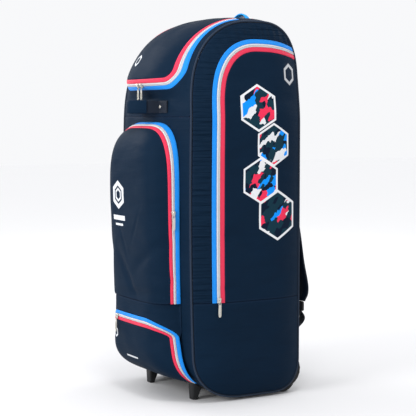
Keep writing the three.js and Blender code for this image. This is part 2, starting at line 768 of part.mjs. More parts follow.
// Side opening: up the front, over the top, and back into the rear seam, where its flap is hinged
function archSamples(frontSteps, cornerSteps, topSteps) {
  const samples = [];
  for (let i = 0; i < frontSteps; i += 1) {
    samples.push({ rise: i / frontSteps });
  }
  for (let i = 0; i < cornerSteps; i += 1) {
    samples.push({ over: i / cornerSteps });
  }
  for (let i = 0; i <= topSteps; i += 1) {
    samples.push({ back: i / topSteps });
  }
  return samples;
}

// Depth of the rear seam line at a height in its upper corner or below, drawn in by an inset
function rearSeamY(z, inset) {
  const corner = cornerAt(false, false);
  const rise = clamp((z - corner.z) / (corner.radiusZ - inset), 0, 1);
  return corner.y + (corner.radiusY - inset) * (1 - rise ** CORNER_POWER) ** (1 / CORNER_POWER);
}

// Height of the seam line over the top at a depth behind its middle, drawn in by an inset
function rearSeamZ(y, inset) {
  const corner = cornerAt(false, false);
  const reach = clamp((y - corner.y) / (corner.radiusY - inset), 0, 1);
  return corner.z + (corner.radiusZ - inset) * (1 - reach ** CORNER_POWER) ** (1 / CORNER_POWER);
}

function archPoint(inset, sample, foot) {
  if (sample.rise !== undefined) {
    const corner = cornerAt(true, false);
    const low = cornerAt(true, true);
    const middle = (corner.z + low.z) / 2;
    const span = (corner.z - middle) / STRAIGHT_ALONG_HEIGHT;
    const b = mix((foot - middle) / span, 1, sample.rise);
    if (b > STRAIGHT_ALONG_HEIGHT) {
      return sideLoop(inset, -1, b);
    }
    return { y: FRONT_Y + inset, z: middle + b * span };
  }
  if (sample.over !== undefined) {
    return sideLoop(inset, mix(-1, 0, sample.over), 1);
  }
  const start = sideLoop(inset, 0, 1);
  const endZ = start.z - ARCH_DROP;
  const endY = rearSeamY(endZ, PANEL_EDGE);
  return { y: mix(start.y, endY, sample.back), z: start.z - ARCH_DROP * sample.back ** 2 };
}

// The seam line that the strip outside the opening follows, sample by sample
function rimPoint(sample, foot) {
  if (sample.back === undefined) {
    return archPoint(PANEL_EDGE, sample, foot);
  }
  const start = sideLoop(PANEL_EDGE, 0, 1);
  const endZ = BODY_TOP - SIDE_TAPE_INSET - ARCH_DROP + ARCH_TIP;
  const endY = rearSeamY(endZ, PANEL_EDGE);
  const y = mix(start.y, endY, sample.back);
  return { y, z: rearSeamZ(y, PANEL_EDGE) };
}

const ARCH_STEPS = 10;
const ARCH_CORNER_STEPS = 8;
const ARCH_TOP_STEPS = 6;

function sideName(side) {
  return side > 0 ? 'right' : 'left';
}

function addSide(side) {
  const label = sideName(side);
  const onSide = (y, z, lift) => onSurface((p, q) => sidePoint(side, p, q, lift), y, z, side);
  const foot = SIDE_SEAM_HEIGHT + GAP;
  const samples = archSamples(ARCH_STEPS, ARCH_CORNER_STEPS, ARCH_TOP_STEPS);
  const last = samples.length - 1;

  const PUCKER = 1.3;
  const surround = gridSurface(last, 2, (u, v) => {
    const i = Math.round(u * last);
    const rim = rimPoint(samples[i], foot);
    const edge = archPoint(SIDE_TAPE_INSET - GAP, samples[i], foot);
    const y = mix(rim.y, edge.y, v);
    const z = mix(rim.z, edge.z, v);
    const pucker = v === 0.5 ? PUCKER * (i % 2) : 0;
    return onSide(y, z, -pucker);
  });
  addPiece(`surround_${label}`, thicken(surround, CLOTH), CLOTH_FINISH);

  const bands = [
    ['blue', 0, COIL_START, BLUE_FINISH],
    ['white', COIL_START + GAP / TAPE_WIDTH, COIL_END, WHITE_FINISH],
    ['red', COIL_END + GAP / TAPE_WIDTH, 1, RED_FINISH],
  ];
  for (const [colour, from, to, finish] of bands) {
    const strip = gridSurface(last, 1, (u, v) => {
      const inset = SIDE_TAPE_INSET + TAPE_WIDTH * mix(from, to, v);
      const { y, z } = archPoint(inset, samples[Math.round(u * last)], foot);
      return onSide(y, z);
    });
    addPiece(`side_tape_${label}_${colour}`, thicken(strip, TAPE_THICKNESS), finish);
  }

  const inner = SIDE_TAPE_INSET + TAPE_WIDTH + GAP;
  const flapEdge = samples.map((sample) => {
    const { y, z } = archPoint(inner, sample, foot);
    return [y, z];
  });
  const hingeTop = flapEdge.at(-1)[1];
  for (let i = 1; i <= ARCH_STEPS; i += 1) {
    const z = mix(hingeTop, foot, i / ARCH_STEPS);
    flapEdge.push([rearSeamY(z, PANEL_EDGE), z]);
  }
  const flap = insideArch(flapEdge, ARCH_STEPS, onSide);
  addPiece(`side_flap_${label}`, thicken(flap, CLOTH), CLOTH_FINISH);

  const lowSteps = 5;
  const lowEdge = [];
  for (let i = 0; i <= lowSteps; i += 1) {
    lowEdge.push(lowSidePoint(-1, i / lowSteps));
  }
  for (let i = 1; i < 10; i += 1) {
    const { y, z } = sideLoop(PANEL_EDGE, mix(-1, 1, i / 10), -1);
    lowEdge.push([y, z]);
  }
  for (let i = lowSteps; i >= 0; i -= 1) {
    lowEdge.push(lowSidePoint(1, i / lowSteps));
  }
  const low = insideArch(lowEdge, lowSteps, onSide);
  addPiece(`lower_side_${label}`, thicken(low, CLOTH), CLOTH_FINISH);
}

// Front or back edge of the lower side panel, from the side seam down to the middle of the corner
function lowSidePoint(a, share) {
  const corner = cornerAt(a < 0, true);
  const middle = (corner.z + cornerAt(a < 0, false).z) / 2;
  const span = (middle - corner.z) / STRAIGHT_ALONG_HEIGHT;
  const start = (SIDE_SEAM_HEIGHT - GAP - middle) / span;
  const b = mix(start, -1, share);
  const { y, z } = sideLoop(PANEL_EDGE, a, b);
  return [y, b > -STRAIGHT_ALONG_HEIGHT ? middle + b * span : z];
}

// Piping: a round cord sewn into each side seam
function addPiping(side) {
  const ringSteps = 64;
  const tubeSides = 4;
  const position = [];
  const index = [];
  for (let i = 0; i < ringSteps; i += 1) {
    const seam = outlineAt(outlineLength * i / ringSteps);
    for (let j = 0; j < tubeSides; j += 1) {
      const angle = 2 * Math.PI * j / tubeSides;
      const out = PIPING_RADIUS * 0.9 * Math.cos(angle);
      const x = side * seamHalfWidth(seam.z) + PIPING_RADIUS * 0.9 * Math.sin(angle);
      position.push(x, seam.y + seam.outY * out, seam.z + seam.outZ * out);
      const nextRing = (i + 1) % ringSteps;
      const nextSide = (j + 1) % tubeSides;
      const a = i * tubeSides + j;
      const b = nextRing * tubeSides + j;
      const c = nextRing * tubeSides + nextSide;
      const d = i * tubeSides + nextSide;
      index.push(a, c, b, a, d, c);
    }
  }
  const geometry = new THREE.BufferGeometry();
  geometry.setAttribute('position', new THREE.Float32BufferAttribute(position, 3));
  geometry.setIndex(index);
  addPiece(`piping_${sideName(side)}`, geometry, PIPING_FINISH);
}

// Foot: a tapered block with an upright front edge, whose top fits the pan above it
function addFoot(side) {
  const front = FOOT_Y - FOOT_TOP_LENGTH / 2;
  const levels = [
    { z: 0, width: FOOT_BOTTOM_WIDTH, from: front + FOOT_LEAN, to: front + FOOT_LEAN + FOOT_BOTTOM_LENGTH },
    { z: FOOT_HEIGHT, width: FOOT_TOP_WIDTH, from: front, to: front + FOOT_TOP_LENGTH },
  ];
  const block = new THREE.BoxGeometry(1, 1, 1);
  const corners = block.attributes.position;
  for (let i = 0; i < corners.count; i += 1) {
    const level = levels[corners.getZ(i) > 0 ? 1 : 0];
    const x = side * FOOT_X + corners.getX(i) * level.width;
    corners.setXYZ(i, x, corners.getY(i) < 0 ? level.from : level.to, level.z);
  }
  const foot = solidOf(block).subtract(solidOf(plate(gussetOutline(FOOT_X, GAP), -BODY_DEPTH, BODY_DEPTH)));
  addPiece(`foot_${sideName(side)}`, geometryOf(foot), RUBBER_FINISH);
}

// Outline of the strip round the body at one x, pushed out by a clearance
function gussetOutline(x, clearance) {
  const points = [];
  const steps = 4 * OUTLINE_STEPS;
  for (let i = steps - 1; i >= 0; i -= 1) {
    const point = gussetPoint(outlineLength * i / steps, x, clearance);
    points.push([point.y, point.z]);
  }
  return points;
}

// A plate cut along an outline in the (y, z) plane and standing between two x values
function plate(shapePoints, fromX, toX, holes = []) {
  const shape = new THREE.Shape(shapePoints.map(([y, z]) => new THREE.Vector2(y, z)));
  for (const hole of holes) {
    shape.holes.push(hole);
  }
  const geometry = new THREE.ExtrudeGeometry(shape, { depth: toX - fromX, bevelEnabled: false, curveSegments: 10 });
  geometry.applyMatrix4(new THREE.Matrix4().makeBasis(
    new THREE.Vector3(0, 1, 0),
    new THREE.Vector3(0, 0, 1),
    new THREE.Vector3(1, 0, 0),
  ));
  geometry.translate(fromX, 0, 0);
  return geometry;
}

// Outline of the wheel housing: follows the wheel at the back and is square inside the body
function housingOutline(grow, bottom) {
  const radius = WHEEL_RADIUS + WHEEL_CLEARANCE + HOUSING_WALL + grow;
  const points = [];
  const innerY = WHEEL_Y - radius;
  points.push([innerY, bottom], [WHEEL_Y, bottom]);
  const steps = 8;
  const from = THREE.MathUtils.degToRad(-88);
  const to = THREE.MathUtils.degToRad(58);
  for (let i = 0; i <= steps; i += 1) {
    const angle = mix(from, to, i / steps);
    points.push([WHEEL_Y + radius * Math.cos(angle), WHEEL_RADIUS + HOUSING_RISE + radius * Math.sin(angle)]);
  }
  points.push([innerY, HOUSING_TOP + grow]);
  return points;
}

const HOUSING_HALF = WHEEL_WIDTH / 2 + WHEEL_CLEARANCE + HOUSING_WALL;

function housingSpace(side, grow, bottom) {
  const half = HOUSING_HALF + grow;
  return solidOf(plate(housingOutline(grow, bottom), side * WHEEL_X - half, side * WHEEL_X + half));
}

function wheelSpace(side, radius, halfWidth) {
  const geometry = new THREE.CylinderGeometry(radius, radius, 2 * halfWidth, 28);
  geometry.rotateZ(Math.PI / 2);
  geometry.translate(side * WHEEL_X, WHEEL_Y, WHEEL_RADIUS);
  return solidOf(geometry);
}

function addWheel(side) {
  const label = sideName(side);
  const clearHalf = WHEEL_WIDTH / 2 + WHEEL_CLEARANCE;
  const clearRadius = WHEEL_RADIUS + WHEEL_CLEARANCE;
  let housing = housingSpace(side, 0, HOUSING_BOTTOM).subtract(wheelSpace(side, clearRadius, clearHalf));
  const mouth = plate(
    [
      [WHEEL_Y - clearRadius, -WHEEL_RADIUS],
      [WHEEL_Y + 2 * clearRadius, -WHEEL_RADIUS],
      [WHEEL_Y + 2 * clearRadius, WHEEL_RADIUS * 0.6],
      [WHEEL_Y, WHEEL_RADIUS],
      [WHEEL_Y - clearRadius, WHEEL_RADIUS],
    ],
    side * WHEEL_X - clearHalf,
    side * WHEEL_X + clearHalf,
  );
  housing = housing.subtract(solidOf(mouth));
  const axle = new THREE.CylinderGeometry(AXLE_RADIUS, AXLE_RADIUS, 2 * clearHalf + HOUSING_WALL, 12);
  axle.rotateZ(Math.PI / 2);
  axle.translate(side * WHEEL_X, WHEEL_Y, WHEEL_RADIUS);
  housing = housing.add(solidOf(axle));
  addPiece(`wheel_housing_${label}`, geometryOf(housing), RUBBER_FINISH);

  const bore = AXLE_RADIUS + GAP;
  const half = WHEEL_WIDTH / 2;
  const profile = [
    [bore, -half],
    [WHEEL_RADIUS * 0.3, -half],
    [WHEEL_RADIUS * 0.34, -half * 0.7],
    [WHEEL_RADIUS * 0.74, -half * 0.7],
    [WHEEL_RADIUS * 0.78, -half],
    [WHEEL_RADIUS * 0.94, -half],
    [WHEEL_RADIUS, -half * 0.72],
    [WHEEL_RADIUS, half * 0.72],
    [WHEEL_RADIUS * 0.94, half],
    [WHEEL_RADIUS * 0.78, half],
    [WHEEL_RADIUS * 0.74, half * 0.7],
    [WHEEL_RADIUS * 0.34, half * 0.7],
    [WHEEL_RADIUS * 0.3, half],
    [bore, half],
    [bore, -half],
  ].map(([r, x]) => new THREE.Vector2(r, x));
  const wheel = new THREE.LatheGeometry(profile, 18);
  wheel.rotateZ(Math.PI / 2);
  const mesh = addPiece(`wheel_${label}`, wheel, RUBBER_FINISH);
  mesh.position.set(side * WHEEL_X, WHEEL_Y, WHEEL_RADIUS);
}

// Webbing laid along a path of points with outward directions, one width wide
function webbing(path, width, thickness, across) {
  const last = path.length - 1;
  const surface = gridSurface(last, 1, (u, v) => {
    const point = path[Math.round(u * last)];
    return point.clone().addScaledVector(across, mix(-width / 2, width / 2, v));
  });
  return thicken(surface, thickness);
}

function addFrontHandle() {
  const stand = HANDLE_CLEARANCE + HANDLE_THICKNESS;
  const faceY = (x, z) => domePoint(frontRun(z), x).y;
  const low = HANDLE_HEIGHT - HANDLE_WEBBING / 2;
  const high = HANDLE_HEIGHT + HANDLE_WEBBING / 2;
  const stations = [-1, -0.75, -0.58, -0.48, -0.38, -0.26, -0.12, 0, 0.12, 0.26, 0.38, 0.48, 0.58, 0.75, 1];
  const patchShare = HANDLE_PATCH_START / HANDLE_PATCH_END;
  const band = gridSurface(stations.length - 1, 1, (u, v) => {
    const share = stations[Math.round(u * (stations.length - 1))];
    const x = share * HANDLE_PATCH_END;
    const z = mix(low, high, v);
    const loose = clamp(1 - Math.abs(share) / patchShare, 0, 1);
    const reach = HANDLE_REACH * (1 - (1 - loose) ** 2);
    return new THREE.Vector3(x, faceY(x, z) - stand - reach, z);
  });
  addPiece('front_handle', thicken(band, HANDLE_THICKNESS), WEBBING_FINISH);
  for (const side of [-1, 1]) {
    const x = side * HANDLE_PATCH_END * RIVET_SHARE;
    const cap = new THREE.CylinderGeometry(RIVET_RADIUS * 0.7, RIVET_RADIUS, RIVET_HEIGHT, 12);
    cap.rotateX(Math.PI);
    const mesh = addPiece(`rivet_${sideName(side)}`, cap, METAL_FINISH);
    const bandY = (faceY(x, low) + faceY(x, high)) / 2 - stand;
    const lean = Math.atan2(faceY(x, high) - faceY(x, low), HANDLE_WEBBING);
    const rise = RIVET_SEAT + RIVET_HEIGHT / 2;
    mesh.rotation.x = -lean;
    mesh.position.set(x, bandY - rise * Math.cos(lean), HANDLE_HEIGHT + rise * Math.sin(lean));
  }
}

function addTopHandle() {
  const run = overTopRun(TOP_HANDLE_Y);
  const stations = [-1, -0.8, -0.56, -0.45, -0.3, -0.1, 0.1, 0.3, 0.45, 0.56, 0.8, 1];
  const bands = [
    ['blue', -0.5, -0.205, BLUE_FINISH],
    ['white', -0.18, 0.18, WHITE_FINISH],
    ['red', 0.205, 0.5, RED_FINISH],
  ];
  const patchShare = 1 - TOP_HANDLE_PATCH / TOP_HANDLE_HALF_LENGTH;
  for (const [colour, from, to, finish] of bands) {
    const surface = gridSurface(stations.length - 1, 1, (u, v) => {
      const share = stations[Math.round(u * (stations.length - 1))];
      const loose = clamp(1 - Math.abs(share) / patchShare, 0, 1);
      const rise = TOP_HANDLE_RISE * (1 - (1 - loose) ** 2);
      const lift = GAP + HANDLE_THICKNESS + rise;
      return gussetPoint(run + HANDLE_WEBBING * mix(from, to, v), share * TOP_HANDLE_HALF_LENGTH, lift);
    });
    addPiece(`top_handle_${colour}`, thicken(surface, HANDLE_THICKNESS), finish);
  }
}

const WEBBING_SLACK_HIGH = 0.7;

// Shoulder strap: height and stand-off from the back panel, as shares
const STRAP_ROWS = [
  { height: 1, off: 0 },
  { height: 0.85, off: 0.03 },
  { height: 0.7, off: 0.05 },
  { height: 0.53, off: 0.1 },
  { height: 0.4, off: 0.2 },
  { height: 0.29, off: 0.44 },
  { height: 0.18, off: 0.66 },
  { height: 0.12, off: 0.84 },
  { height: 0.065, off: 1 },
  { height: 0.025, off: 0.98 },
  { height: 0, off: 0.86 },
];

function strapPoint(row, x, lift) {
  const z = mix(STRAP_BOTTOM_HEIGHT, STRAP_TOP_HEIGHT, row.height);
  const base = gussetPoint(backRun(z), x);
  return new THREE.Vector3(x, base.y + GAP + STRAP_THICKNESS + row.off * STRAP_STAND_OFF + lift, z);
}

function addStrap(side) {
  const label = sideName(side);
  const last = STRAP_ROWS.length - 1;
  const columns = 4;
  const pad = gridSurface(last, columns, (u, v) => {
    const row = STRAP_ROWS[Math.round(u * last)];
    const across = mix(-1, 1, v);
    const width = STRAP_WIDTH * mix(0.82, 1, smooth(0, 0.3, row.height));
    const middle = side * STRAP_X;
    const rim = -STRAP_THICKNESS * 0.3 * across ** 2;
    const point = strapPoint(row, middle, rim);
    point.x += across * width / 2;
    return point;
  });
  addPiece(`shoulder_strap_${label}`, thicken(flipped(pad), STRAP_THICKNESS * 0.7), WEBBING_FINISH);

  const end = strapPoint(STRAP_ROWS[last], side * STRAP_X, 0);
  const buckleY = end.y - STRAP_THICKNESS / 2;
  const buckleTop = STRAP_BOTTOM_HEIGHT - GAP;
  const buckleOutline = [
    [-BUCKLE_WIDTH / 2, -BUCKLE_HEIGHT],
    [BUCKLE_WIDTH / 2, -BUCKLE_HEIGHT],
    [BUCKLE_WIDTH / 2, 0],
    [-BUCKLE_WIDTH / 2, 0],
  ];
  const buckleShape = new THREE.Shape(buckleOutline.map(([x, z]) => new THREE.Vector2(x, z)));
  const slot = new THREE.Path();
  const slotHalf = WEBBING_WIDTH / 2 + 1;
  slot.moveTo(-slotHalf, -BUCKLE_HEIGHT * 0.7);
  slot.lineTo(-slotHalf, -BUCKLE_HEIGHT * 0.3);
  slot.lineTo(slotHalf, -BUCKLE_HEIGHT * 0.3);
  slot.lineTo(slotHalf, -BUCKLE_HEIGHT * 0.7);
  buckleShape.holes.push(slot);
  const buckle = new THREE.ExtrudeGeometry(buckleShape, { depth: BUCKLE_THICKNESS, bevelEnabled: false });
  buckle.rotateX(Math.PI / 2);
  buckle.translate(0, BUCKLE_THICKNESS / 2, 0);
  const mesh = addPiece(`strap_buckle_${label}`, buckle, RUBBER_FINISH);
  mesh.position.set(side * STRAP_X, buckleY, buckleTop);

  const anchor = gussetPoint(backRun(WEBBING_BOTTOM_HEIGHT), side * STRAP_X, GAP + WEBBING_THICKNESS);
  const start = new THREE.Vector3(side * STRAP_X, buckleY, buckleTop - BUCKLE_HEIGHT - WEBBING_DROP);
  const tail = [];
  const steps = 8;
  for (let i = 0; i <= steps; i += 1) {
    const share = i / steps;
    const point = start.clone().lerp(anchor, share);
    point.y += WEBBING_SLACK * Math.sin(Math.PI * share ** WEBBING_SLACK_HIGH) ** 1.6;
    tail.push(point);
  }
  const strip = webbing(tail, WEBBING_WIDTH, WEBBING_THICKNESS, new THREE.Vector3(1, 0, 0));
  addPiece(`strap_webbing_${label}`, strip, WEBBING_FINISH);
}

// Zip slider with its pull tab hanging from it, seen from the outside of the bag
function pullerGeometry() {
  const tab = new THREE.Shape();
  const half = PULLER_WIDTH / 2;
  tab.moveTo(-half * 0.6, 0);
  tab.lineTo(-half, -PULLER_LENGTH * 0.2);
  tab.lineTo(-half, -PULLER_LENGTH + half);
  tab.lineTo(-half * 0.6, -PULLER_LENGTH);
  tab.lineTo(half * 0.6, -PULLER_LENGTH);
  tab.lineTo(half, -PULLER_LENGTH + half);
  tab.lineTo(half, -PULLER_LENGTH * 0.2);
  tab.lineTo(half * 0.6, 0);
  const tabGeometry = new THREE.ExtrudeGeometry(tab, { depth: PULLER_THICKNESS, bevelEnabled: false });
  tabGeometry.translate(0, 0, SLIDER_HEIGHT - PULLER_THICKNESS);
  const slider = new THREE.BoxGeometry(SLIDER_WIDTH, SLIDER_LENGTH, SLIDER_HEIGHT);
  slider.translate(0, 0, SLIDER_HEIGHT / 2);
  return geometryOf(solidOf(tabGeometry).add(solidOf(slider)));
}

function addPuller(name, place, outward) {
  const out = outward.clone().normalize();
  const up = new THREE.Vector3(0, 0, 1);
  up.addScaledVector(out, -out.z).normalize();
  const across = new THREE.Vector3().crossVectors(up, out);
  const mesh = addPiece(name, pullerGeometry(), METAL_FINISH);
  mesh.quaternion.setFromRotationMatrix(new THREE.Matrix4().makeBasis(across, up, out));
  mesh.position.copy(place).addScaledVector(out, GAP);
}

function addPullers() {
  const coil = (COIL_START + COIL_END) / 2;
  for (const side of [-1, 1]) {
    const { y } = archPoint(SIDE_TAPE_INSET + TAPE_WIDTH * coil, { rise: 0 }, SIDE_SEAM_HEIGHT);
    const z = SIDE_SEAM_HEIGHT + SLIDER_LENGTH / 2;
    addPuller(`side_puller_${sideName(side)}`, sidePoint(side, y, z, SIDE_PULLER_LIFT), new THREE.Vector3(side, 0, 0));
    const seat = onSurface(onDome, side * (SLIDER_WIDTH / 2 + GAP), domeStart + TAPE_WIDTH * coil);
    seat.addScaledVector(seat.out, PULLER_LIFT);
    addPuller(`dome_puller_${sideName(side)}`, seat, seat.out);
  }
  const x = POCKET_HALF_WIDTH * (1 - coil * POCKET_TAPE_RIM);
  const onPocket = onSurface(pocketPoint, x, mix(WAIST_HEIGHT, POCKET_TOP, 0.5));
  onPocket.addScaledVector(onPocket.out, PULLER_LIFT);
  addPuller('front_pocket_puller', onPocket, onPocket.out);
  const onShoe = onSurface(shoePoint, SHOE_PULLER_X, SHOE_TAPE_TOP - TAPE_WIDTH * coil);
  onShoe.addScaledVector(onShoe.out, PULLER_LIFT);
  addPuller('shoe_pocket_puller', onShoe, onShoe.out);
}

addGussetPanels();
addDome();
addFrontPocket();
addShoePocket();
for (const side of [-1, 1]) {
  addSide(side);
  addPiping(side);
  addFoot(side);
  addWheel(side);
  addStrap(side);
}
addFrontHandle();
addTopHandle();
addPullers();

// The origin is on the ground under the middle of the bag
const box = new THREE.Box3().setFromObject(bag, true);
const shift = -(box.min.y + box.max.y) / 2;
bag.position.y = shift;
bag.updateMatrixWorld(true);

export default bag;
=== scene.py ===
"""Stand-up cricket kit bag: cloth, zips, straps, handles, feet and wheels over its packed frame."""

import math

import bpy
import numpy as np
from bpy.props import FloatProperty, FloatVectorProperty, PointerProperty
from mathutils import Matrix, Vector


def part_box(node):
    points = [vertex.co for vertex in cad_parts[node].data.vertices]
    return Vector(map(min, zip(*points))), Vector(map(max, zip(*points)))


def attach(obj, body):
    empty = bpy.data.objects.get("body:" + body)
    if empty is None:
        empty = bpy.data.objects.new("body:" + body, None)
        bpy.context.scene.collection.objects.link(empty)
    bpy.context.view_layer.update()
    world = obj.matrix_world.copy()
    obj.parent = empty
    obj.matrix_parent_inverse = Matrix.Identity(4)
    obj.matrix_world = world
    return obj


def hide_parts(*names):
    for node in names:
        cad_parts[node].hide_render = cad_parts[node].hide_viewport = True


bl_info = {
    "name": "Cricket Kit Bag",
    "version": (1, 0, 0),
    "blender": (4, 5, 0),
    "location": "View3D > Sidebar > Kit Bag",
    "description": "Builds the cloth, zips, straps and wheels of a stand-up kit bag",
    "category": "Object",
}

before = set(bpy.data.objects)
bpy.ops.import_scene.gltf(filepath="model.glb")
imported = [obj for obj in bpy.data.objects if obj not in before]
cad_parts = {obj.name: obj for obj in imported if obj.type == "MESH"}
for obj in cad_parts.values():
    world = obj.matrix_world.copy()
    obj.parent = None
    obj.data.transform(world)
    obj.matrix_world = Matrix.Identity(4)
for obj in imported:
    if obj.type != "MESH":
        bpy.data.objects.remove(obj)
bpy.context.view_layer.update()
MM = 0.001

# Body, in millimetres
SEAM_HALF_WIDTH = 180.0
TOP_TAPER = 20.0
TAPER_FROM = 680.0
TAPER_TO = 890.0
BODY_DEPTH = 314.0
BODY_TOP = 935.0
BODY_BOTTOM = 9.0
FRONT_BOW = 12.0
GUSSET_CROWN = 16.0
CROWN_POWER = 3.0
SIDE_BULGE = 26.0
SIDE_BULGE_REACH = 110.0
PILLOW_POWER = 2.5
CORNER_POWER = 2.4
CLOTH = 2.0
GAP = 0.3
PIPING_RADIUS = 2.2
CORE_RADIUS = 3.0
CORE_INSET = 1.5
PANEL_EDGE = PIPING_RADIUS + 3.5 * GAP
FRONT_Y = -BODY_DEPTH / 2 + FRONT_BOW
BACK_Y = BODY_DEPTH / 2
SEAM_HEIGHT = BODY_TOP - BODY_BOTTOM
MID_Z = (BODY_TOP + BODY_BOTTOM) / 2
STRAIGHT_ALONG_DEPTH = 0.5
STRAIGHT_ALONG_HEIGHT = 0.75

# Seams
PAN_FRONT_HEIGHT = 40.0
PAN_BACK_HEIGHT = 112.0
SIDE_SEAM_HEIGHT = 250.0
HANDLE_SEAM_HEIGHT = 700.0
BACK_SEAM_HEIGHT = 850.0

# Zip tapes
TAPE_WIDTH = 30.0
COIL_START = 0.36
COIL_END = 0.64
TAPE_THICKNESS = 1.6
SIDE_TAPE_INSET = 45.0
ARCH_DROP = 16.0
ARCH_TIP = 7.0

# Domed top pocket
DOME_HALF_WIDTH = 156.0
DOME_REACH = 44.0
DOME_FRONT_HEIGHT = 768.0
DOME_CORNER = 52.0
DOME_SHELF = 28.0
DOME_SHOULDER = 32.0
DOME_FALL_LENGTH = 172.0
DOME_END_Y = 4.0
DOME_POWER = 3.0
DOME_DROOP = 0.2

# Front pocket and shoe pocket
POCKET_HALF_WIDTH = 144.0
POCKET_TOP = 688.0
POCKET_DEPTH = 66.0
POCKET_LOWER_DEPTH = 56.0
POCKET_CORNER_POWER = 4.0
POCKET_WALL_POWER = 9.0
POCKET_TOP_POWER = 8.0
POCKET_TAPE_RIM = 0.055
POCKET_TAPE_TOP_RIM = 0.066
WAIST_HEIGHT = 246.0
POCKET_SEAT = 2.1
POCKET_HEIGHT = POCKET_TOP - WAIST_HEIGHT
POCKET_MIDDLE = (POCKET_TOP + WAIST_HEIGHT) / 2
SHOE_TAPE_TOP = 208.0
SHOE_HALF_WIDTH = 136.0
SHOE_FLARE = 26.0
SHOE_DEPTH = 60.0
SHOE_BOTTOM = 50.0
SHOE_CORNER = 66.0
SHOE_CORNER_DROP = 46.0
SHOE_TAPE_RIM = 9.0
SHOE_WALL_POWER = 7.0
SHOE_FOOT_ROUND = 88.0
SHOE_FOOT_POWER = 2.4
SHOE_TAPE_LEVEL = 0.8
SHOE_SEAT = 2.4

# Feet, wheels, handles and straps
FOOT_X = 115.0
FOOT_Y = -108.0
FOOT_TOP = (30.0, 26.0)
FOOT_BOTTOM = (22.0, 13.0)
FOOT_LEAN = 2.0
WHEEL_RADIUS = 36.0
WHEEL_WIDTH = 26.0
WHEEL_X = 146.0
WHEEL_Y = 128.0
HANDLE_HEIGHT = 725.0
HANDLE_WEBBING = 30.0
HANDLE_THICKNESS = 3.5
HANDLE_CLEARANCE = 1.1
HANDLE_PATCH_END = 88.0
HANDLE_PATCH_START = 50.0
HANDLE_REACH = 58.0
GRIP_SHARE = 0.42
TOP_HANDLE_Y = 98.0
TOP_HANDLE_HALF = 78.0
TOP_HANDLE_PATCH = 34.0
TOP_HANDLE_RISE = 15.0
RIVET_HEAD_RADIUS = 4.5
RIVET_HEAD_HEIGHT = 1.9
STRAP_X = 88.0
STRAP_WIDTH = 64.0
STRAP_THICKNESS = 13.0
STRAP_TOP_HEIGHT = 820.0
STRAP_BOTTOM_HEIGHT = 219.0
STRAP_STAND_OFF = 52.0
WEBBING_WIDTH = 25.0
WEBBING_THICKNESS = 2.2
WEBBING_BOTTOM_HEIGHT = 122.0
WEBBING_SLACK = 24.0
WEBBING_SLACK_HIGH = 0.7
WEBBING_DROP = 1.6
STRAP_STEPS = 140
PAD_SEAT = STRAP_THICKNESS * 0.62
PAD_HALF_THICKNESS = STRAP_THICKNESS * 0.46
PAD_POWER = 3.2
PAD_LOW_WIDTH = 0.82
PAD_TIP_NARROWING = 0.3
PAD_TIP_LENGTH = 0.02
QUILT_ROWS = 9
QUILT_DEPTH = 0.12
BINDING_HALF_WIDTH = 1.9
BINDING_HALF_HEIGHT = 2.6
PAD_BAND_THICKNESS = 1.4
TAIL_THICKNESS = 1.8
BUCKLE_SIZE = (36.0, 26.0, 6.0)
BUCKLE_BEVEL = 1.1
BUCKLE_WINDOW = (WEBBING_WIDTH / 2 + 0.8, BUCKLE_SIZE[1] * 0.34)
BUCKLE_BARS = (("low", -3.2), ("high", 3.2))
BUCKLE_BAR_HALVES = (2.0, 1.9)
PULLER_LENGTH = 42.0
PULLER_SEAT = 1.2
PULLER_PIVOT = np.array([0.0, -3.0, 4.0])
SIDE_PULLER_RISE = 7.0
DOME_PULLER_X = 9.0
SHOE_PULLER_X = -70.0
SLIDER_HALVES = (5.0, 7.0)

# Zip slider sections: height and growth of the outline
SLIDER_RINGS = ((0.0, -0.7), (0.5, 0.0), (2.2, 0.0), (2.8, -0.6))

# Zip bridge and pull tab: half lengths and places along the tab, thickness and bevel
BRIDGE_REACH = 4.4
BRIDGE_RISE = 2.5
BRIDGE_HALVES = (1.5, 0.55)
TAB_POWER = 3.4
TAB_HALF_WIDTH = 3.5
TAB_FLARE = 0.9
TAB_HOLE = (1.9, 3.6, 7.0)
TAB_PLATE = (1.7, 0.45)
TAB_LEVEL = 3.4
RIM_OUTER = (3.1, 11.4, 26.0)
RIM_INNER = (2.5, 10.5, 26.0)
RIM_PLATE = (0.8, 0.2)
RIM_LEVEL = 4.5

# Front foot sections from the floor up: share of the height and growth of the outline
FOOT_RINGS = (
    (0.0, -1.6), (0.0, -0.6), (0.03, 0.0), (0.3, 0.0), (0.6, 0.0), (0.8, 0.0), (0.8, 0.0), (1.0, 0.0),
)

# Wheel profile from the bore out to the tyre: radius, and width as a share of half the wheel's
HUB_PROFILE = (
    (4.3, 1.0), (10.4, 1.0), (11.2, 0.9), (12.2, 0.66), (25.0, 0.62),
    (26.6, 0.72), (27.6, 0.94), (28.6, 1.0), (33.0, 1.0), (34.8, 0.88),
)
WHEEL_STEPS = 192

# Zip tape bands: name, start and end across the tape, finish, height and power of the rise
TAPE_BANDS = (
    ("blue", 0.0, COIL_START - 0.004, "blue", 0.35, 0.5),
    ("white", COIL_START + 0.004, COIL_END - 0.004, "coil", 1.1, 1.0),
    ("red", COIL_END + 0.004, 1.0, "red", 0.35, 0.5),
)
TOP_HANDLE_BANDS = (("blue", -0.5, -0.2), ("white", -0.185, 0.185), ("red", 0.2, 0.5))

SIDES = ((-1, "left"), (1, "right"))
FRONT = np.array([0.0, -1.0, 0.0])
ACROSS = np.array([1.0, 0.0, 0.0])
FRONT_OVERLAP = 0.2
TOP_OVERLAP = 0.1
GATHER_PITCH = 2.9
HALF_ROOT_THREE = 0.8660254

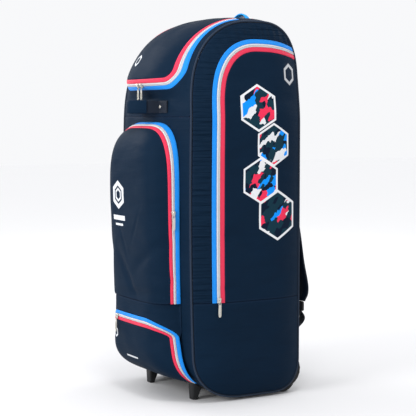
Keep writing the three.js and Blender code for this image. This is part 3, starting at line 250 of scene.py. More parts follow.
# Prints, in metres: hexagons (place, size) on the side, an outlined badge, and marks on the front
SIDE_HEXAGONS = ((0.022, 0.722, 0.051), (0.066, 0.632, 0.047), (0.028, 0.545, 0.05), (0.078, 0.458, 0.055))
BADGE_PLACE = (0.124, 0.806)
BADGE_SIZES = (0.018, 0.0125)
FRONT_MARKS = (
    ("hexagon", (-0.045, 0.505), 0.032), ("hexagon", (-0.045, 0.505), 0.016),
    ("bar", (-0.045, 0.447), (0.034, 0.006)), ("bar", (-0.045, 0.43), (0.022, 0.0028)),
)
DOME_MARKS = (("hexagon", (-0.05, 0.842), 0.013),)
SHOE_MARKS = (("hexagon", (-0.088, 0.15), 0.013), ("bar", (-0.005, 0.098), (0.03, 0.0024)))
STITCH_INSET = 0.0032
STITCH_PITCH = 0.0032

# Fixed shades
PRINT_EDGE = (0.72, 0.73, 0.75, 1)
BADGE_SILVER = (0.45, 0.46, 0.48, 1)
MARK_GREY = (0.66, 0.68, 0.71, 1)
SHARD_GREEN = (0.006, 0.03, 0.048, 1)
SHARD_NAVY = (0.003, 0.010, 0.026, 1)
SHARD_WHITE = (0.68, 0.69, 0.71, 1)
WORN_CLOTH = (0.009, 0.022, 0.052, 1)
THREAD_NAVY = (0.012, 0.024, 0.055, 1)
SEAM_SHADOW = (0.0012, 0.003, 0.008, 1)
TOOTH_GREY = (0.42, 0.44, 0.47, 1)
GROOVE_GREY = (0.2, 0.21, 0.24, 1)
DUST = (0.05, 0.052, 0.055, 1)
# Painted light: the far floor's brighter colour stands in for lamp light that does not reach it
FAR_FLOOR_PAINTED_LIGHT = (0.985, 0.985, 0.99, 1)

# Studio, in metres and degrees; each lamp has a name, a place, a size and its share of the key light's power
FLOOR_HALF = 14.0
CAMERA_PLACE = Vector((2.771, -1.607, 0.7))
CAMERA_YAW = 59.95
CAMERA_PITCH = 4.19
LAMP_TARGET = Vector((0.0, 0.0, 0.48))
LAMPS = (
    ("key", (0.7, -3.1, 1.5), 1.3, 1.0),
    ("side", (1.2, -0.5, 2.9), 0.7, 0.4),
    ("rim", (-2.4, -1.0, 1.8), 1.4, 0.5),
    ("back", (-0.6, 2.6, 2.0), 1.6, 0.4),
)

# Corner radii as shares of depth and height: back top, back bottom, front top, front bottom
CORNER_SHARES = np.array([[0.34, 0.134], [0.26, 0.092], [0.56, 0.235], [0.45, 0.125]])

# Soft folds of the side panels: depth place, height place, slant, length, width, depth
SIDE_FOLDS = (
    (-0.08, 0.84, -6, 0.2, 0.016, 2.6),
    (-0.02, 0.4, -24, 0.26, 0.02, 4.0),
    (-0.12, 0.435, -12, 0.18, 0.014, 2.2),
    (0.05, 0.345, -5, 0.4, 0.024, 2.6),
    (-0.13, 0.64, 2, 0.12, 0.012, 1.6),
    (0.12, 0.47, -10, 0.2, 0.012, 1.2),
    (0.1, 0.9, -14, 0.22, 0.01, 1.0),
    (-0.2, 0.3, 8, 0.16, 0.008, 0.9),
    (0.22, 0.31, 12, 0.2, 0.01, 1.1),
)

# Drape folds of the front pocket: width place, height place, slant, length, width, depth
POCKET_FOLDS = (
    (0.3, 0.26, 32, 0.5, 0.032, 5.0),
    (-0.05, 0.13, -52, 0.5, 0.03, 5.0),
    (0.5, 0.12, -30, 0.4, 0.03, 4.0),
    (-0.45, 0.16, 64, 0.5, 0.03, 4.0),
    (0.1, 0.035, 5, 0.5, 0.026, 4.0),
    (0.15, 0.42, 58, 0.3, 0.012, 1.4),
    (-0.1, 0.33, -64, 0.3, 0.012, 1.4),
)

# Shoulder strap: height and stand-off from the back panel, as shares
STRAP_ROWS = np.array([
    [1.0, 0.0], [0.85, 0.03], [0.7, 0.05], [0.53, 0.1], [0.4, 0.2], [0.29, 0.44],
    [0.18, 0.66], [0.12, 0.84], [0.065, 1.0], [0.025, 0.98], [0.0, 0.86],
])


def shift_y():
    """Distance along Y from the drawing's own axis to the frame's, read from a wheel."""
    low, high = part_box("wheel_right")
    return (low.y + high.y) / 2 / MM - WHEEL_Y


def mix(start, end, share):
    """Straight mix of two values."""
    return start + (end - start) * share


def smooth(low, high, value):
    """Smooth step from 0 at low to 1 at high: 3t^2 - 2t^3."""
    share = np.clip((value - low) / (high - low), 0, 1)
    return share * share * (3 - 2 * share)


def fold_depth(folds, p, q, span_p, span_q):
    """Sum of long shallow troughs, each a Gaussian across and along its slanted line."""
    total = np.zeros(np.broadcast(p, q).shape)
    for place_p, place_q, slant, length, width, depth in folds:
        angle = math.radians(slant)
        dp = p - place_p * span_p
        dq = q - place_q * span_q
        along = (dp * math.cos(angle) + dq * math.sin(angle)) / (length * span_p)
        across = (dq * math.cos(angle) - dp * math.sin(angle)) / (width * span_q)
        total = total + depth * np.exp(-4 * along**2 - across**2)
    return total


def ripple(p, q, scale):
    """Small uneven relief: three crossed sine waves whose phases bend one another."""
    a = np.sin(p / scale + 1.7 * np.sin(q / scale * 0.31))
    b = np.sin(q / scale * 1.3 + 1.3 * np.sin(p / scale * 0.47) + 0.8)
    c = np.sin((p + q) / scale * 0.57 + 2.1)
    return (a * b + c * 0.6) / 1.6


def points_of(*axes):
    """Coordinates broadcast together and stacked as points."""
    return np.stack(np.broadcast_arrays(*axes), -1)


def on(surface, plane, lift=0.0):
    """Points of a surface over points of its plane."""
    return surface(plane[..., 0], plane[..., 1], lift)


def unit(vectors):
    """Vectors divided by their lengths."""
    return vectors / np.linalg.norm(vectors, axis=-1, keepdims=True)


def path_length(line):
    """Distance along a line of points, from zero."""
    return np.concatenate([[0], np.cumsum(np.linalg.norm(np.diff(line, axis=0), axis=-1))])


def softened(values, width):
    """Values averaged under a Hann window, with the ends carried on."""
    kernel = np.hanning(width) / np.hanning(width).sum()
    return np.convolve(np.pad(values, width // 2, mode="edge"), kernel, "valid")


def circle(count):
    """Cosines and sines of evenly spread angles."""
    angle = np.arange(count) / count * 2 * np.pi
    return np.cos(angle), np.sin(angle)


def corner(front, low):
    """Radii and centre of the side outline's corner nearest to each point."""
    share = CORNER_SHARES[front.astype(int) * 2 + low.astype(int)]
    radius_y = share[..., 0] * BODY_DEPTH
    radius_z = share[..., 1] * SEAM_HEIGHT
    y = np.where(front, FRONT_Y + radius_y, BACK_Y - radius_y)
    z = np.where(low, BODY_BOTTOM + radius_z, BODY_TOP - radius_z)
    return radius_y, radius_z, y, z


def side_loop(inset, a, b):
    """Side outline drawn in by an inset: straight lines between super-elliptic corners. (a, b) runs round a square."""
    a, b, inset = np.broadcast_arrays(np.asarray(a, float), np.asarray(b, float), np.asarray(inset, float))
    front, low = a < 0, b < 0
    ry, rz, cy, cz = corner(front, low)
    other_y = corner(~front, low)[2]
    other_z = corner(front, ~low)[3]
    out_y = np.where(front, -1.0, 1.0)
    out_z = np.where(low, -1.0, 1.0)
    ry, rz = ry - inset, rz - inset
    level = np.abs(b) >= np.abs(a)
    turned_level = (np.abs(a) - STRAIGHT_ALONG_DEPTH) / (1 - STRAIGHT_ALONG_DEPTH)
    turned_up = (np.abs(b) - STRAIGHT_ALONG_HEIGHT) / (1 - STRAIGHT_ALONG_HEIGHT)
    angle = np.pi / 4 * np.where(level, 2 - turned_level, turned_up)
    y = cy + out_y * ry * np.clip(np.cos(angle), 0, 1) ** (2 / CORNER_POWER)
    z = cz + out_z * rz * np.clip(np.sin(angle), 0, 1) ** (2 / CORNER_POWER)
    flat = level & (turned_level <= 0)
    y = np.where(flat, mix((cy + other_y) / 2, cy, np.abs(a) / STRAIGHT_ALONG_DEPTH), y)
    z = np.where(flat, cz + out_z * rz, z)
    upright = ~level & (turned_up <= 0)
    y = np.where(upright, cy + out_y * ry, y)
    z = np.where(upright, mix((cz + other_z) / 2, cz, np.abs(b) / STRAIGHT_ALONG_HEIGHT), z)
    return y, z


def bowed(y, z):
    """The front line bows forward by a parabola over the height."""
    height = (z - MID_Z) / (SEAM_HEIGHT / 2)
    return y - FRONT_BOW * np.clip(1 - height**2, 0, None) * np.clip(y / FRONT_Y, 0, 1)


def inset_at(y, z):
    """How far inside the side outline a point lies, measured square to the nearest line or corner."""
    ry, rz, _, _ = corner(y < 0, z < MID_Z)
    from_side = np.where(y < 0, y - FRONT_Y, BACK_Y - y)
    from_end = np.where(z < MID_Z, z - BODY_BOTTOM, BODY_TOP - z)
    py = np.clip((ry - from_side) / ry, 0, None)
    pz = np.clip((rz - from_end) / rz, 0, None)
    reach = (py**CORNER_POWER + pz**CORNER_POWER) ** (1 / CORNER_POWER)
    radius = (ry * py**2 + rz * pz**2) / np.maximum(py**2 + pz**2, 1e-9)
    return np.where((py <= 0) | (pz <= 0), np.minimum(from_side, from_end), (1 - reach) * radius)


def seam_half_width(z):
    """Half the distance between the side seams, which narrows towards the top."""
    return SEAM_HALF_WIDTH - TOP_TAPER * smooth(TAPER_FROM, TAPER_TO, z)


def trace_outline(steps=400):
    """Seam outline as arrays of distance, depth and height, from the bottom middle up the front and round."""
    turns = np.array([[0, -1], [-1, -1], [-1, 1], [1, 1], [1, -1], [0, -1]], float)
    share = np.arange(steps) / steps
    ab = np.concatenate([mix(turns[k], turns[k + 1], share[:, None]) for k in range(5)])
    y, z = side_loop(0, ab[:, 0], ab[:, 1])
    y = bowed(y, z)
    y, z = np.append(y, y[0]), np.append(z, z[0])
    run = np.concatenate([[0], np.cumsum(np.hypot(np.diff(y), np.diff(z)))])
    keep = np.concatenate([[True], np.diff(run) > 1e-6])
    return run[keep], y[keep], z[keep]


RUN, RUN_Y, RUN_Z = trace_outline()
OUTLINE_LENGTH = RUN[-1]
TANGENT_Y = np.gradient(RUN_Y, RUN)
TANGENT_Z = np.gradient(RUN_Z, RUN)


def outline_at(run):
    """Place and outward direction of the seam outline at a distance along it."""
    wrapped = np.mod(run, OUTLINE_LENGTH)
    y, z, ty, tz = (np.interp(wrapped, RUN, values) for values in (RUN_Y, RUN_Z, TANGENT_Y, TANGENT_Z))
    size = np.hypot(ty, tz)
    return y, z, -tz / size, ty / size


def front_run(height):
    """Distance along the outline at which its front line reaches a height."""
    rising = (RUN < OUTLINE_LENGTH / 2) & (TANGENT_Z > 1e-3)
    return np.interp(height, RUN_Z[rising], RUN[rising])


def over_top_run(y):
    """Distance along the outline at which its top line reaches a depth."""
    top = (TANGENT_Y > 1e-3) & (RUN_Z > MID_Z)
    return np.interp(y, RUN_Y[top], RUN[top])


def back_run(height):
    """Distance along the outline at which its back line reaches a height."""
    falling = (RUN > OUTLINE_LENGTH / 2) & (TANGENT_Z < -1e-3)
    return np.interp(-height, -RUN_Z[falling], RUN[falling])


def gusset(x, run, lift=0.0):
    """Strip round the body: the outline carried across X, crowned by a cubic fall towards both seams."""
    y, z, out_y, out_z = outline_at(run)
    level = 1 - np.abs(x / SEAM_HALF_WIDTH) ** CROWN_POWER
    reach = GUSSET_CROWN * level * np.clip(1 + 1.6 * out_z, 0, 1) + lift
    narrowed = x * seam_half_width(z) / SEAM_HALF_WIDTH
    return points_of(narrowed, y + out_y * reach, z + out_z * reach)


DOME_START = front_run(DOME_FRONT_HEIGHT)
DOME_END = over_top_run(DOME_END_Y)


def dome(x, run, lift=0.0):
    """The strip with the dome's swell: a smooth rise over its front edge and a long smooth fall to the top."""
    across = np.clip(np.abs(x) / DOME_HALF_WIDTH, 0, 1)
    rise = smooth(DOME_START - DOME_SHELF, DOME_START + DOME_SHOULDER, run)
    fall_start = DOME_START + DOME_SHOULDER
    fall = 1 - smooth(fall_start, fall_start + DOME_FALL_LENGTH, run)
    swell = DOME_REACH * rise * fall * (1 - across**DOME_POWER)
    _, _, out_y, out_z = outline_at(run)
    turned = smooth(DOME_START, DOME_END, run)
    point = gusset(x, run, lift)
    point[..., 1] += swell * mix(-1, out_y, turned)
    point[..., 2] += swell * mix(-DOME_DROOP, out_z, turned)
    return point


def side_wall(side, y, z, lift=0.0):
    """Side panel: a pillow that rises from the seam by a power curve, with the soft folds pressed in."""
    share = np.clip(inset_at(y, z) / SIDE_BULGE_REACH, 0, 1)
    bulge = SIDE_BULGE * (1 - (1 - share) ** PILLOW_POWER)
    fold = fold_depth(SIDE_FOLDS, y, z - BODY_BOTTOM, BODY_DEPTH, SEAM_HEIGHT) * smooth(0, 0.5, share)
    x = side * (seam_half_width(z) + bulge - fold + lift)
    return points_of(x, bowed(y, z), z)


def front_face(x, z):
    """Depth of the body's front behind the pockets."""
    height = (z - MID_Z) / (SEAM_HEIGHT / 2)
    crown = GUSSET_CROWN * (1 - np.abs(x / SEAM_HALF_WIDTH) ** CROWN_POWER)
    return FRONT_Y - FRONT_BOW * (1 - height**2) - crown


def pocket(x, z, lift=0.0):
    """Front pocket: depth falls to the rim by a high power of a super-elliptic level, with drape folds."""
    upper = np.clip((z - POCKET_MIDDLE) / (POCKET_HEIGHT / 2), 0, 1)
    across = np.abs(x) / POCKET_HALF_WIDTH
    reach = across**POCKET_CORNER_POWER + upper**POCKET_CORNER_POWER
    level = reach ** (1 / POCKET_CORNER_POWER)
    top_share = (upper**POCKET_CORNER_POWER / np.maximum(reach, 1e-9)) ** 3
    power = mix(POCKET_WALL_POWER, POCKET_TOP_POWER, top_share)
    lower = smooth(POCKET_TOP - POCKET_HEIGHT * 0.25, WAIST_HEIGHT, z)
    wall = 1 - np.clip(level, 0, 1) ** power
    fold = fold_depth(POCKET_FOLDS, x, z - WAIST_HEIGHT, 2 * POCKET_HALF_WIDTH, POCKET_HEIGHT)
    depth = mix(POCKET_DEPTH, POCKET_LOWER_DEPTH, lower) - fold + lift
    return points_of(x, front_face(x, z) - POCKET_SEAT - depth * wall, z)


def shoe_half_width(z):
    """Half the shoe pocket's width, which grows downwards."""
    return SHOE_HALF_WIDTH + SHOE_FLARE * np.clip((SHOE_TAPE_TOP - z) / (SHOE_TAPE_TOP - SHOE_BOTTOM), 0, 1)


def shoe(x, z, lift=0.0):
    """Shoe pocket: a full front that flares downwards and rounds under at its foot."""
    across = np.clip(np.abs(x) / (shoe_half_width(z) + 2), 0, 1)
    upper = mix(SHOE_DEPTH, POCKET_LOWER_DEPTH, smooth(SHOE_TAPE_TOP - 30, WAIST_HEIGHT, z))
    under = np.clip((SHOE_BOTTOM + SHOE_FOOT_ROUND - z) / SHOE_FOOT_ROUND, 0, 1)
    depth = upper * np.sqrt(np.clip(1 - under**SHOE_FOOT_POWER, 0, None))
    low = corner(np.array(True), np.array(True))
    fall = np.clip((low[3] - z) / low[1], 0, 1)
    tuck = low[0] * (1 - (1 - fall**CORNER_POWER) ** (1 / CORNER_POWER))
    y = front_face(x, z) - SHOE_SEAT - (depth + lift * (depth > 0)) * (1 - across**SHOE_WALL_POWER) + tuck
    return points_of(x, y, z)


def inside_arch(left, right, top):
    """Coons fill between two legs and a head whose foot is level: leg mix plus head mix less the corners' mix."""
    u = np.linspace(0, 1, len(top))[:, None, None]
    v = np.linspace(0, 1, len(left))[None, :, None]
    foot = mix(left[0], right[0], u)
    head = mix(left[-1], right[-1], u)
    return mix(left[None], right[None], u) + mix(foot, top[:, None], v) - mix(foot, head, v)


def inside_rim(edge, rows):
    """The fill inside a symmetric rim whose two legs have that many rows."""
    return inside_arch(edge[:rows + 1], edge[::-1][:rows + 1], edge[rows:len(edge) - rows])


def u_rim(shape, inset_p, inset_q, counts):
    """A U in the plane: two legs and a base joined by elliptic corners, drawn in by an inset for each column."""
    half, radius_p, radius_q, length = shape
    inset_p, inset_q = np.broadcast_arrays(np.atleast_1d(inset_p).astype(float), np.atleast_1d(inset_q).astype(float))
    half_in = half - inset_p[None]
    rp, rq = radius_p - inset_p[None], radius_q - inset_q[None]
    legs = 1 - np.arange(counts[0])[:, None] / counts[0]
    turn = np.arange(counts[1])[:, None] / counts[1] * np.pi / 2
    base = np.linspace(-1, 1, counts[2] + 1)[:, None]
    leg = points_of(-half_in, mix(radius_q, length, legs))
    bend = points_of(-(half_in - rp + rp * np.cos(turn)), radius_q - rq * np.sin(turn))
    level = points_of(base * (half_in - rp), inset_q[None])
    left = np.concatenate([leg, bend])
    return np.concatenate([left, level, left[::-1] * [-1, 1]])


def arch(inset, counts, foot=SIDE_SEAM_HEIGHT + GAP):
    """Side opening's line: up the front, over the top and back into the rear seam, with an inset for each column."""
    inset = np.atleast_1d(inset).astype(float)[None]
    rise = (np.arange(counts[0]) / counts[0])[:, None]
    over = (np.arange(counts[1]) / counts[1])[:, None]
    back = np.linspace(0, 1, counts[2] + 1)[:, None]
    _, _, _, top_z = corner(np.array(True), np.array(False))
    _, _, _, low_z = corner(np.array(True), np.array(True))
    middle = (top_z + low_z) / 2
    span = (top_z - middle) / STRAIGHT_ALONG_HEIGHT
    b = mix((foot - middle) / span, 1, rise)
    y1, z1 = side_loop(inset, -1.0, np.maximum(b, STRAIGHT_ALONG_HEIGHT))
    straight = b <= STRAIGHT_ALONG_HEIGHT
    y1, z1 = np.where(straight, FRONT_Y + inset, y1), np.where(straight, middle + b * span, z1)
    y2, z2 = side_loop(inset, mix(-1, 0, over), 1.0)
    y0, z0 = side_loop(inset, 0.0, 1.0)
    y3 = mix(y0, rear_seam_y(z0 - ARCH_DROP), back)
    z3 = z0 - ARCH_DROP * back**2
    return np.concatenate([points_of(y1, z1), points_of(y2, z2), points_of(y3, z3)])


def rear_seam_y(z, inset=PANEL_EDGE):
    """Depth of the rear seam line at a height."""
    ry, rz, cy, cz = corner(np.array(False), np.array(False))
    rise = np.clip((z - cz) / (rz - inset), 0, 1)
    return cy + (ry - inset) * (1 - rise**CORNER_POWER) ** (1 / CORNER_POWER)


def rear_seam_z(y, inset=PANEL_EDGE):
    """Height of the seam line over the top at a depth."""
    ry, rz, cy, cz = corner(np.array(False), np.array(False))
    reach = np.clip((y - cy) / (ry - inset), 0, 1)
    return cz + (rz - inset) * (1 - reach**CORNER_POWER) ** (1 / CORNER_POWER)


def arch_rim(counts):
    """The seam line outside the opening, sample by sample."""
    line = arch(PANEL_EDGE, counts)[:, 0]
    back = np.linspace(0, 1, counts[2] + 1)
    y0 = float(side_loop(PANEL_EDGE, 0.0, 1.0)[0])
    end = rear_seam_y(BODY_TOP - SIDE_TAPE_INSET - ARCH_DROP + ARCH_TIP)
    y = mix(y0, end, back)
    line[-len(back):] = points_of(y, rear_seam_z(y))
    return line


def lower_leg(a, count):
    """Front or back edge of the lower side panel, from the side seam to the middle of the corner."""
    front = np.array(a < 0)
    low, top = corner(front, np.array(True)), corner(front, np.array(False))
    middle = (low[3] + top[3]) / 2
    span = (middle - low[3]) / STRAIGHT_ALONG_HEIGHT
    b = mix((SIDE_SEAM_HEIGHT - GAP - middle) / span, -1, np.linspace(0, 1, count))
    y, z = side_loop(PANEL_EDGE, a, b)
    return points_of(y, np.where(b > -STRAIGHT_ALONG_HEIGHT, middle + b * span, z))


# Mesh making

def facing(points, hint):
    """Unit normals of a grid from the cross product of its two gradients, turned to agree with a hint."""
    normal = np.cross(np.gradient(points, axis=0), np.gradient(points, axis=1))
    size = np.linalg.norm(normal, axis=-1, keepdims=True)
    normal = normal / np.maximum(size, 1e-9)
    turned = float((normal * hint).sum()) < 0
    return (-normal if turned else normal), turned


def grid_quads(n, m, wrap_n=False, wrap_m=False):
    """Corner numbers of the quads of an n by m grid."""
    i = np.arange(n if wrap_n else n - 1)[:, None]
    j = np.arange(m if wrap_m else m - 1)[None]
    ni, nj = (i + 1) % n, (j + 1) % m
    return np.stack([i * m + j, ni * m + j, ni * m + nj, i * m + nj], -1).reshape(-1, 4)


def make_object(name, points, quads, uvs, material, body="bag", caps=()):
    """Puts arrays of points, quads and end faces into a mesh object that rides on a body."""
    mesh = bpy.data.meshes.new(name)
    place = points.reshape(-1, 3) * MM
    place[:, 1] += SHIFT * MM
    faces = [tuple(face) for face in quads.tolist()] + [tuple(face) for face in caps]
    mesh.from_pydata(place.tolist(), [], faces)
    corners = np.zeros(len(mesh.loops), np.int64)
    mesh.loops.foreach_get("vertex_index", corners)
    for layer, values in uvs.items():
        values = values.reshape(-1, 2)
        mesh.uv_layers.new(name=layer).data.foreach_set("uv", values[corners].astype(np.float32).ravel())
    mesh.polygons.foreach_set("use_smooth", np.ones(len(mesh.polygons), bool))
    mesh.set_sharp_from_angle(angle=math.radians(48))
    mesh.materials.append(material)
    piece = bpy.data.objects.new(name, mesh)
    bpy.context.scene.collection.objects.link(piece)
    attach(piece, body)
    return piece


def edge_distances(points):
    """Distance of each grid point from the four rims, measured along the grid's lines."""
    along = np.linalg.norm(np.diff(points, axis=0), axis=-1)
    across = np.linalg.norm(np.diff(points, axis=1), axis=-1)
    u = np.concatenate([np.zeros((1, points.shape[1])), np.cumsum(along, axis=0)])
    v = np.concatenate([np.zeros((points.shape[0], 1)), np.cumsum(across, axis=1)], axis=1)
    return u, u[-1:] - u, v, v[:, -1:] - v


def skin(name, points, hint, material, wall=CLOTH, rolled="abcd", roll=(1.0, 2.6), weave=None):
    """A walled sheet: the grid, its copy one wall behind and a closed rim. The rims in rolled sink as sewn edges do."""
    n, m = points.shape[:2]
    sides = edge_distances(points)
    weave = points_of(sides[0], sides[2]) * MM if weave is None else weave
    chosen = [sides["abcd".index(letter)] for letter in rolled]
    near = np.minimum.reduce(chosen) if chosen else np.full((n, m), 1e3)
    along = np.where((near == sides[0]) | (near == sides[1]), sides[2], sides[0])
    seam = points_of(along, near) * MM
    normal, turned = facing(points, hint)
    front = points - normal * (roll[0] * np.exp(-((near / roll[1]) ** 2)))[..., None]
    back = points - normal * (wall + 0.2)
    quads = grid_quads(n, m)
    quads = quads[:, ::-1] if turned else quads
    count = n * m
    index = np.arange(count).reshape(n, m)
    rim = np.concatenate([index[:, 0], index[-1, 1:], index[-2::-1, -1], index[0, -2:0:-1]])
    following = np.roll(rim, -1)
    wall_quads = points_of(rim, following, following + count, rim + count)
    wall_quads = wall_quads[:, ::-1] if not turned else wall_quads
    faces = np.concatenate([quads, quads[:, ::-1] + count, wall_quads])
    uvs = {"weave": np.concatenate([weave, weave]), "seam": np.concatenate([seam, seam])}
    return make_object(name, np.concatenate([front, back]), faces, uvs, material)


def turned_out(points, quads, caps=()):
    """Faces whose corners run so that the volume they enclose comes out positive."""
    flat = points.reshape(-1, 3)
    a, b, c, d = (flat[quads[:, k]] for k in range(4))
    volume = (np.cross(a, b) * c).sum() + (np.cross(a, c) * d).sum()
    for cap in caps:
        ring = flat[cap]
        volume += (np.cross(np.broadcast_to(ring[0], ring[1:-1].shape), ring[1:-1]) * ring[2:]).sum()
    return (quads, caps) if volume >= 0 else (quads[:, ::-1], [cap[::-1] for cap in caps])


def loft(name, rings, material, closed=False):
    """Carries closed rings along a path; an open path gets end faces."""
    n, m = rings.shape[:2]
    caps = [] if closed else [list(range(m)), list(range((n - 1) * m, n * m))[::-1]]
    quads, caps = turned_out(rings, grid_quads(n, m, closed, True), caps)
    around = np.cumsum(np.linalg.norm(rings - np.roll(rings, 1, axis=1), axis=-1), axis=1)
    uv = points_of(path_length(rings.mean(1))[:, None], around) * MM
    return make_object(name, rings, quads, {"weave": uv, "seam": uv}, material, caps=caps)


def super_ring(count, half_a, half_b, power):
    """Points of a super-ellipse as two arrays."""
    angle = np.arange(count) / count * 2 * np.pi
    c, s = np.cos(angle), np.sin(angle)
    return half_a * np.sign(c) * np.abs(c) ** (2 / power), half_b * np.sign(s) * np.abs(s) ** (2 / power)


def ribbon(name, path, across, width, thickness, material, power=7):
    """A flat strap: a flat super-elliptic section carried along a path, square to its direction."""
    across = np.broadcast_to(across, path.shape)
    normal = unit(np.cross(unit(np.gradient(path, axis=0)), across))
    a, b = super_ring(36, width / 2, thickness / 2, power)
    rings = path[:, None] + across[:, None] * a[None, :, None] + normal[:, None] * b[None, :, None]
    return loft(name, rings, material)


# Shader making

def maths(operation):
    """A method that adds one Math node."""
    def method(self, *others):
        return self.shader.node("ShaderNodeMath", {"operation": operation}, [self, *others])
    return method


class Value:
    """A shader socket whose operators and methods add Math nodes."""

    def __init__(self, shader, socket):
        self.shader = shader
        self.socket = socket

    def __rsub__(self, other):
        return self.shader.node("ShaderNodeMath", {"operation": "SUBTRACT"}, [other, self])

    __add__ = __radd__ = maths("ADD")
    __sub__ = maths("SUBTRACT")
    __mul__ = __rmul__ = maths("MULTIPLY")
    __truediv__ = maths("DIVIDE")
    __lt__ = maths("LESS_THAN")
    __gt__ = maths("GREATER_THAN")
    abs = maths("ABSOLUTE")
    sine = maths("SINE")
    minimum = maths("MINIMUM")
    maximum = maths("MAXIMUM")

    def clamp(self):
        """The value held between 0 and 1."""
        return self.maximum(0.0).minimum(1.0)

    def waves(self, pitch):
        """Sine waves along the value, one to a pitch."""
        return (self * (2 * math.pi / pitch)).sine()


class Shader:
    """A material's node tree, with its principled surface and its coordinates at hand."""

    def __init__(self, name, constants):
        self.material = bpy.data.materials.new(name)
        self.material.use_nodes = True
        self.tree = self.material.node_tree
        self.surface = self.tree.nodes["Principled BSDF"]
        for socket, value in constants.items():
            self.surface.inputs[socket].default_value = value

    def node(self, kind, settings=None, inputs=(), output=0):
        """Any node: its settings first, then the values or links of its sockets."""
        made = self.tree.nodes.new(kind)
        for key, value in (settings or {}).items():
            setattr(made, key, value)
        pairs = inputs.items() if isinstance(inputs, dict) else enumerate(inputs)
        for key, value in pairs:
            if isinstance(value, Value):
                self.tree.links.new(value.socket, made.inputs[key])
            else:
                made.inputs[key].default_value = value
        return Value(self, made.outputs[output])

    def parts(self, vector):
        """The three numbers of a vector."""
        split = self.tree.nodes.new("ShaderNodeSeparateXYZ")
        self.tree.links.new(vector.socket, split.inputs[0])
        return [Value(self, socket) for socket in split.outputs]

    def place(self):
        """Object coordinates."""
        return self.node("ShaderNodeTexCoord", output=3)

    def map(self, name):
        """The three numbers of a UV map."""
        return self.parts(self.node("ShaderNodeUVMap", {"uv_map": name}))

    def vector(self, *numbers):
        """A vector from three numbers."""
        return self.node("ShaderNodeCombineXYZ", {}, numbers)

    def stretch(self, vector, scale):
        """A vector multiplied by three numbers."""
        return self.node("ShaderNodeVectorMath", {"operation": "MULTIPLY"}, [vector, scale])

    def noise(self, vector, scale, detail=3.0, roughness=0.55):
        """Noise between 0 and 1."""
        inputs = {"Vector": vector, "Scale": scale, "Detail": detail, "Roughness": roughness}
        return self.node("ShaderNodeTexNoise", {}, inputs)

    def blend(self, share, first, second):
        """Mix of two colours by a share."""
        return self.node("ShaderNodeMix", {"data_type": "RGBA"}, {0: share, 6: first, 7: second}, output=2)

    def step(self, low, high, value):
        """Smooth step of a value between two limits."""
        inputs = {"Value": value, "From Min": low, "From Max": high, "To Min": 0.0, "To Max": 1.0}
        return self.node("ShaderNodeMapRange", {"interpolation_type": "SMOOTHSTEP"}, inputs)

    def fade(self, low, high, value):
        """Smooth step down from 1 to 0 between two limits."""
        return 1 - self.step(low, high, value)

    def stitches(self, across, inset, along, pitch):
        """Row of short dashes at an inset from an edge."""
        return self.fade(0.0003, 0.0006, (across - inset).abs()) * self.step(-0.2, 0.3, along.waves(pitch))

    def bump(self, height, distance, strength=1.0, after=None):
        """Relief on top of the relief before it."""
        inputs = {"Height": height, "Distance": distance, "Strength": strength}
        return self.node("ShaderNodeBump", {}, inputs if after is None else {**inputs, "Normal": after})

    def finish(self, **links):
        """Links the values to the surface's sockets."""
        for socket, value in links.items():
            self.tree.links.new(value.socket, self.surface.inputs[socket.replace("_", " ")])
        return self.material


def colour(values, factor=1.0, lift=0.0):
    """A colour with full alpha, scaled and lifted."""
    return tuple(min(1.0, value * factor + lift) for value in values[:3]) + (1.0,)


def hexagon(p, q):
    """Distance from a hexagon's centre to its edge lines: the largest of three projections."""
    return p.abs().maximum(p.abs() * 0.5 + q.abs() * HALF_ROOT_THREE)


def shard_colours(shader, y, z, kit):
    """Abstract shards: slanted cells whose random numbers pick one of five colours."""
    slanted = shader.vector(y + z * 0.55, z * 0.62 - y * 0.5, 0.0)
    bent = shader.noise(slanted, 60.0, 2.0)
    shifted = shader.vector(bent * 0.02, bent * 0.012, 0.0)
    warped = shader.node("ShaderNodeVectorMath", {"operation": "ADD"}, [slanted, shifted])
    inputs = {"Vector": shader.stretch(warped, (30.0, 92.0, 1.0)), "Scale": 1.0}
    pick = shader.parts(shader.node("ShaderNodeTexVoronoi", {"distance": "MANHATTAN"}, inputs, output=1))[0]
    ink = SHARD_GREEN
    following = (0.34, colour(kit.blue)), (0.50, SHARD_NAVY), (0.72, colour(kit.red)), (0.88, SHARD_WHITE)
    for limit, shade in following:
        ink = shader.blend(pick > limit, ink, shade)
    return ink


def side_artwork(shader, ink, y, z):
    """Column of white-edged hexagons filled with shards, and an outlined badge: the new ink and where it is."""
    zone = filled = None
    for centre_y, centre_z, size in SIDE_HEXAGONS:
        reach = hexagon(y - centre_y, z - centre_z) / size
        whole, core = shader.fade(0.985, 1.0, reach), shader.fade(0.885, 0.9, reach)
        zone = whole if zone is None else zone.maximum(whole)
        filled = core if filled is None else filled.maximum(core)
    art = shard_colours(shader, y, z, bpy.context.scene.kit_bag)
    reach = hexagon(y - BADGE_PLACE[0], (z - BADGE_PLACE[1]) * 0.72)
    badge, hollow = (shader.fade(0.9, 1.0, reach / size) for size in BADGE_SIZES)
    ink = shader.blend(zone, ink, PRINT_EDGE)
    ink = shader.blend(filled, ink, art)
    ink = shader.blend((badge - hollow).clamp(), ink, BADGE_SILVER)
    return ink, zone.maximum(badge)


